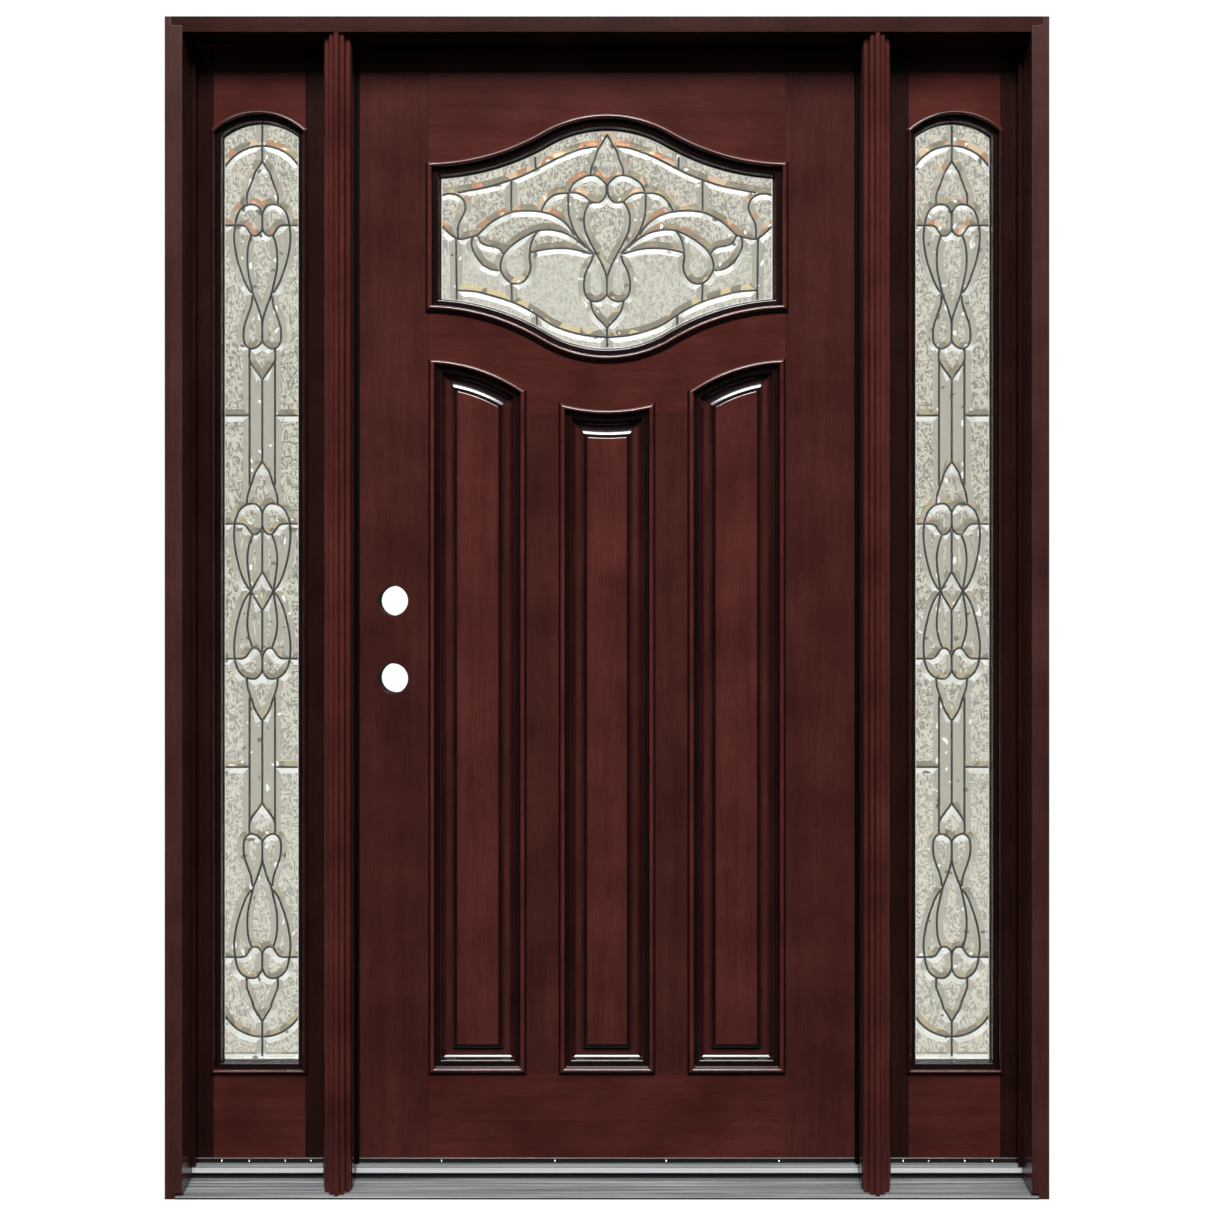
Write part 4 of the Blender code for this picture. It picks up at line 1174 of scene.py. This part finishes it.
SILL_HEIGHT = 0.014
SILL_NOSE = 0.004
RIB_COUNT = 5
RIB_HEIGHT = 0.0003
RIB_HALF_SHARE = 0.28
RIB_STEPS = 8
SILL_ROUND = ((0.0, -0.0008), (0.0004, -0.0002))
SILL_CREASE = 0.0012
RISER_FRONT = -0.00005
LIP_TOP = 0.037
RISER_TOP = 0.0325
RISER_NOSE_DROP = 0.0142
RISER_LIP_RADIUS = 0.0045
RISER_LIP_DEPTH = 0.0114
RISER_RECESS = 0.008
RISER_CHAMFER = 0.001
RISER_LIP_STEPS = 12


def sill_line(y):
    share = min((y - FRONT) / (RISER_FRONT - FRONT), 1.0)
    return SILL_NOSE + (SILL_HEIGHT - SILL_NOSE) * share


def along_x(name, profile, start, end, materials, sides):
    near = [(start, y, z) for y, z in profile]
    far = [(end, y, z) for y, z in profile]
    return prism(name, near, far, materials, sides)


def make_sill():
    low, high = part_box("sill")
    pitch = (RISER_FRONT - FRONT) / (RIB_COUNT + 1)
    profile = [(FRONT, 0.0)] + [(FRONT + y, SILL_NOSE + z) for y, z in SILL_ROUND]
    profile.append((FRONT + SILL_CREASE, sill_line(FRONT + SILL_CREASE)))
    for rib in range(1, RIB_COUNT + 1):
        middle = FRONT + rib * pitch
        for step in range(RIB_STEPS + 1):
            turn = math.pi * step / RIB_STEPS
            y = middle - RIB_HALF_SHARE * pitch * math.cos(turn)
            profile.append((y, sill_line(y) + RIB_HEIGHT * math.sin(turn)))
    web = RISER_FRONT + RISER_RECESS
    profile += [(RISER_FRONT, SILL_HEIGHT), (web, SILL_HEIGHT), (BACK, SILL_HEIGHT), (BACK, 0.0)]
    # The sill's front face and the deck under the riser's lip take the dark metal as painted
    # shade
    sides = [1] + [0] * (len(profile) - 5) + [1, 0, 0, 0]
    place(along_x("fine_sill", profile, low.x, high.x, (MILL_ALUMINIUM, PAINTED_GAP_SHADE), sides),
          "frame", "mill_aluminium", "sill")
    nose = LIP_TOP - RISER_NOSE_DROP
    round_edge = arc_points((RISER_FRONT + RISER_LIP_RADIUS, LIP_TOP - RISER_LIP_RADIUS),
                            RISER_LIP_RADIUS, math.pi, math.pi / 2, RISER_LIP_STEPS)
    lip_back = RISER_FRONT + RISER_LIP_DEPTH
    for name in ("riser_door", "riser_sidelight_left", "riser_sidelight_right"):
        low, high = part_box(name)
        profile = [(RISER_FRONT + RISER_CHAMFER, nose), (RISER_FRONT, nose + RISER_CHAMFER)]
        profile += round_edge
        profile += [(lip_back, LIP_TOP), (lip_back, RISER_TOP), (high.y, RISER_TOP),
                    (high.y, low.z), (web, low.z), (web, nose)]
        # The riser's rounded lip and top take the darker aluminium, and the web and underside of
        # the lip the dark metal, both as painted shade
        sides = [0, 0] + [1] * (len(round_edge) - 1) + [1, 1, 1, 0, 0, 2, 2]
        materials = (RISER_ALUMINIUM, SHADED_LIP_ALUMINIUM, PAINTED_GAP_SHADE)
        place(along_x(f"fine_{name}", profile, low.x, high.x, materials, sides), "frame",
              "bright_aluminium", name)


SCREW_RADIUS = 0.0019
SCREW_RISE = 0.0009
SCREW_HEIGHT = 0.0402
SCREW_SIDES = 20
SCREW_RINGS = ((1.0, 0.0), (0.97, 0.45), (0.75, 0.85), (0.4, 1.0), (0.18, 0.55))
SHOE_THICK = 0.0012
DOOR_SCREWS = (-0.297, -0.0933, 0.1064, 0.3086)
SIDE_SCREWS = (0.5312, 0.5771, 0.6419, 0.6914)


def screw_mesh(x, y, z, verts, faces):
    """A low domed screw head with a round recess, facing the outside."""
    sides = SCREW_SIDES
    start = len(verts)
    top = start + (len(SCREW_RINGS) - 1) * sides
    for radius, rise in SCREW_RINGS:
        for side in range(sides):
            angle = 2 * math.pi * side / sides
            verts.append((x + SCREW_RADIUS * radius * math.cos(angle), y - SCREW_RISE * rise,
                          z + SCREW_RADIUS * radius * math.sin(angle)))
    for low in range(start, top, sides):
        for side in range(sides):
            after = (side + 1) % sides
            faces.append((low + side, low + after, low + sides + after, low + sides + side))
    faces.append(tuple(range(start, start + sides)))
    faces.append(tuple(range(top, top + sides)))


def make_screws():
    sets = [("door_shoe_screws", "door", DOOR_SCREWS),
            ("sidelight_right_shoe_screws", "frame", SIDE_SCREWS),
            ("sidelight_left_shoe_screws", "frame", tuple(-x for x in SIDE_SCREWS))]
    face = SLAB_FRONT - SEAT - SHOE_THICK
    for name, body, spots in sets:
        verts = []
        faces = []
        for x in spots:
            screw_mesh(x, face, SCREW_HEIGHT, verts, faces)
        place(new_object(name, verts, faces, (STEEL,)), body, "bright_aluminium")


# Studio

CAMERA_PLACE = (0.0, -2.537, 1.034)
LENS = 42.13
SENSOR = 36.0
WORLD_LIGHT = 0.03
BACKDROP_LIGHT = 1.02
FLOOR_TONE = 0.03
FLOOR_DROP = 0.0002
LIGHT_AIM = (0.0, 0.0, 1.2)
END_AIM = (0.0, 0.25, 1.3)

# Name, place, aim, width and height, radiance, and the kinds of ray that don't see the light
LIGHTS = (
    ("main_softbox", (0.0, -6.6, 7.9), (0.0, 0.0, 1.4), (3.0, 3.4), 33.0, ()),
    ("overhead_glow", (0.0, -2.55, 5.4), LIGHT_AIM, (12.0, 2.0), 12.5, ("diffuse",)),
    ("back_softbox", (0.0, 8.0, 9.0), LIGHT_AIM, (5.6, 5.0), 10.0, ()),
    ("softbox_left", (-6.0, 0.25, 1.3), END_AIM, (0.5, 3.0), 30.0, ("camera", "glossy")),
    ("softbox_right", (6.0, 0.25, 1.3), END_AIM, (0.5, 3.0), 30.0, ("camera", "glossy")),
)


def glowing(name, tone, strength):
    """A matt surface that shines white by itself."""
    mat = Nodes(name)
    mat.set(Base_Color=(tone, tone, tone), Roughness=1.0, Specular_IOR_Level=0.0,
            Emission_Color=(1.0, 1.0, 1.0), Emission_Strength=strength)
    mat.material.cycles.emission_sampling = "NONE"
    return mat.material


def stage_piece(name, material):
    """Name the shape just added and keep it out of the part's light and reflections."""
    piece = bpy.context.object
    piece.name = name
    piece.data.materials.append(material)
    piece.visible_diffuse = False
    piece.visible_glossy = False
    return piece


def area_light(name, spot, aim, size, radiance):
    """A soft rectangular light."""
    data = bpy.data.lights.new(name, "AREA")
    data.shape = "RECTANGLE"
    data.size, data.size_y = size
    data.energy = radiance * math.pi * size[0] * size[1]
    light = bpy.data.objects.new(name, data)
    light.location = spot
    heading = Vector(aim) - Vector(spot)
    light.rotation_euler = heading.to_track_quat("-Z", "Y").to_euler()
    bpy.context.scene.collection.objects.link(light)
    return light


def make_studio():
    scene = bpy.context.scene
    scene.view_settings.view_transform = "Standard"
    scene.view_settings.look = "None"
    scene.world = bpy.data.worlds.new("Studio")
    scene.world.use_nodes = True
    background = scene.world.node_tree.nodes["Background"]
    background.inputs["Color"].default_value = (1.0, 1.0, 1.0, 1.0)
    background.inputs["Strength"].default_value = WORLD_LIGHT

    bpy.ops.mesh.primitive_uv_sphere_add(segments=64, ring_count=32, radius=14.0)
    dome = stage_piece("backdrop", glowing("White backdrop", 0.0, BACKDROP_LIGHT))
    dome.visible_shadow = False
    bpy.ops.mesh.primitive_plane_add(size=26.0, location=(0.0, 0.0, -FLOOR_DROP))
    floor = stage_piece("floor", glowing("Pale floor", FLOOR_TONE, 1.0))

    for name, spot, aim, size, radiance, hidden in LIGHTS:
        light = area_light(name, spot, aim, size, radiance)
        for ray in hidden:
            setattr(light, "visible_" + ray, False)


def make_camera():
    data = bpy.data.cameras.new("camera")
    data.lens = LENS
    data.sensor_width = SENSOR
    camera = bpy.data.objects.new("camera", data)
    camera.location = CAMERA_PLACE
    camera.rotation_euler = (math.pi / 2, 0.0, 0.0)
    bpy.context.scene.collection.objects.link(camera)
    bpy.context.scene.camera = camera


make_camera()
dress_boards()
make_mouldings()
make_covers()
make_door_glass()
for each_side, each_hand in SIDES:
    make_side_glass(each_side, each_hand)
make_sill()
make_screws()
make_studio()
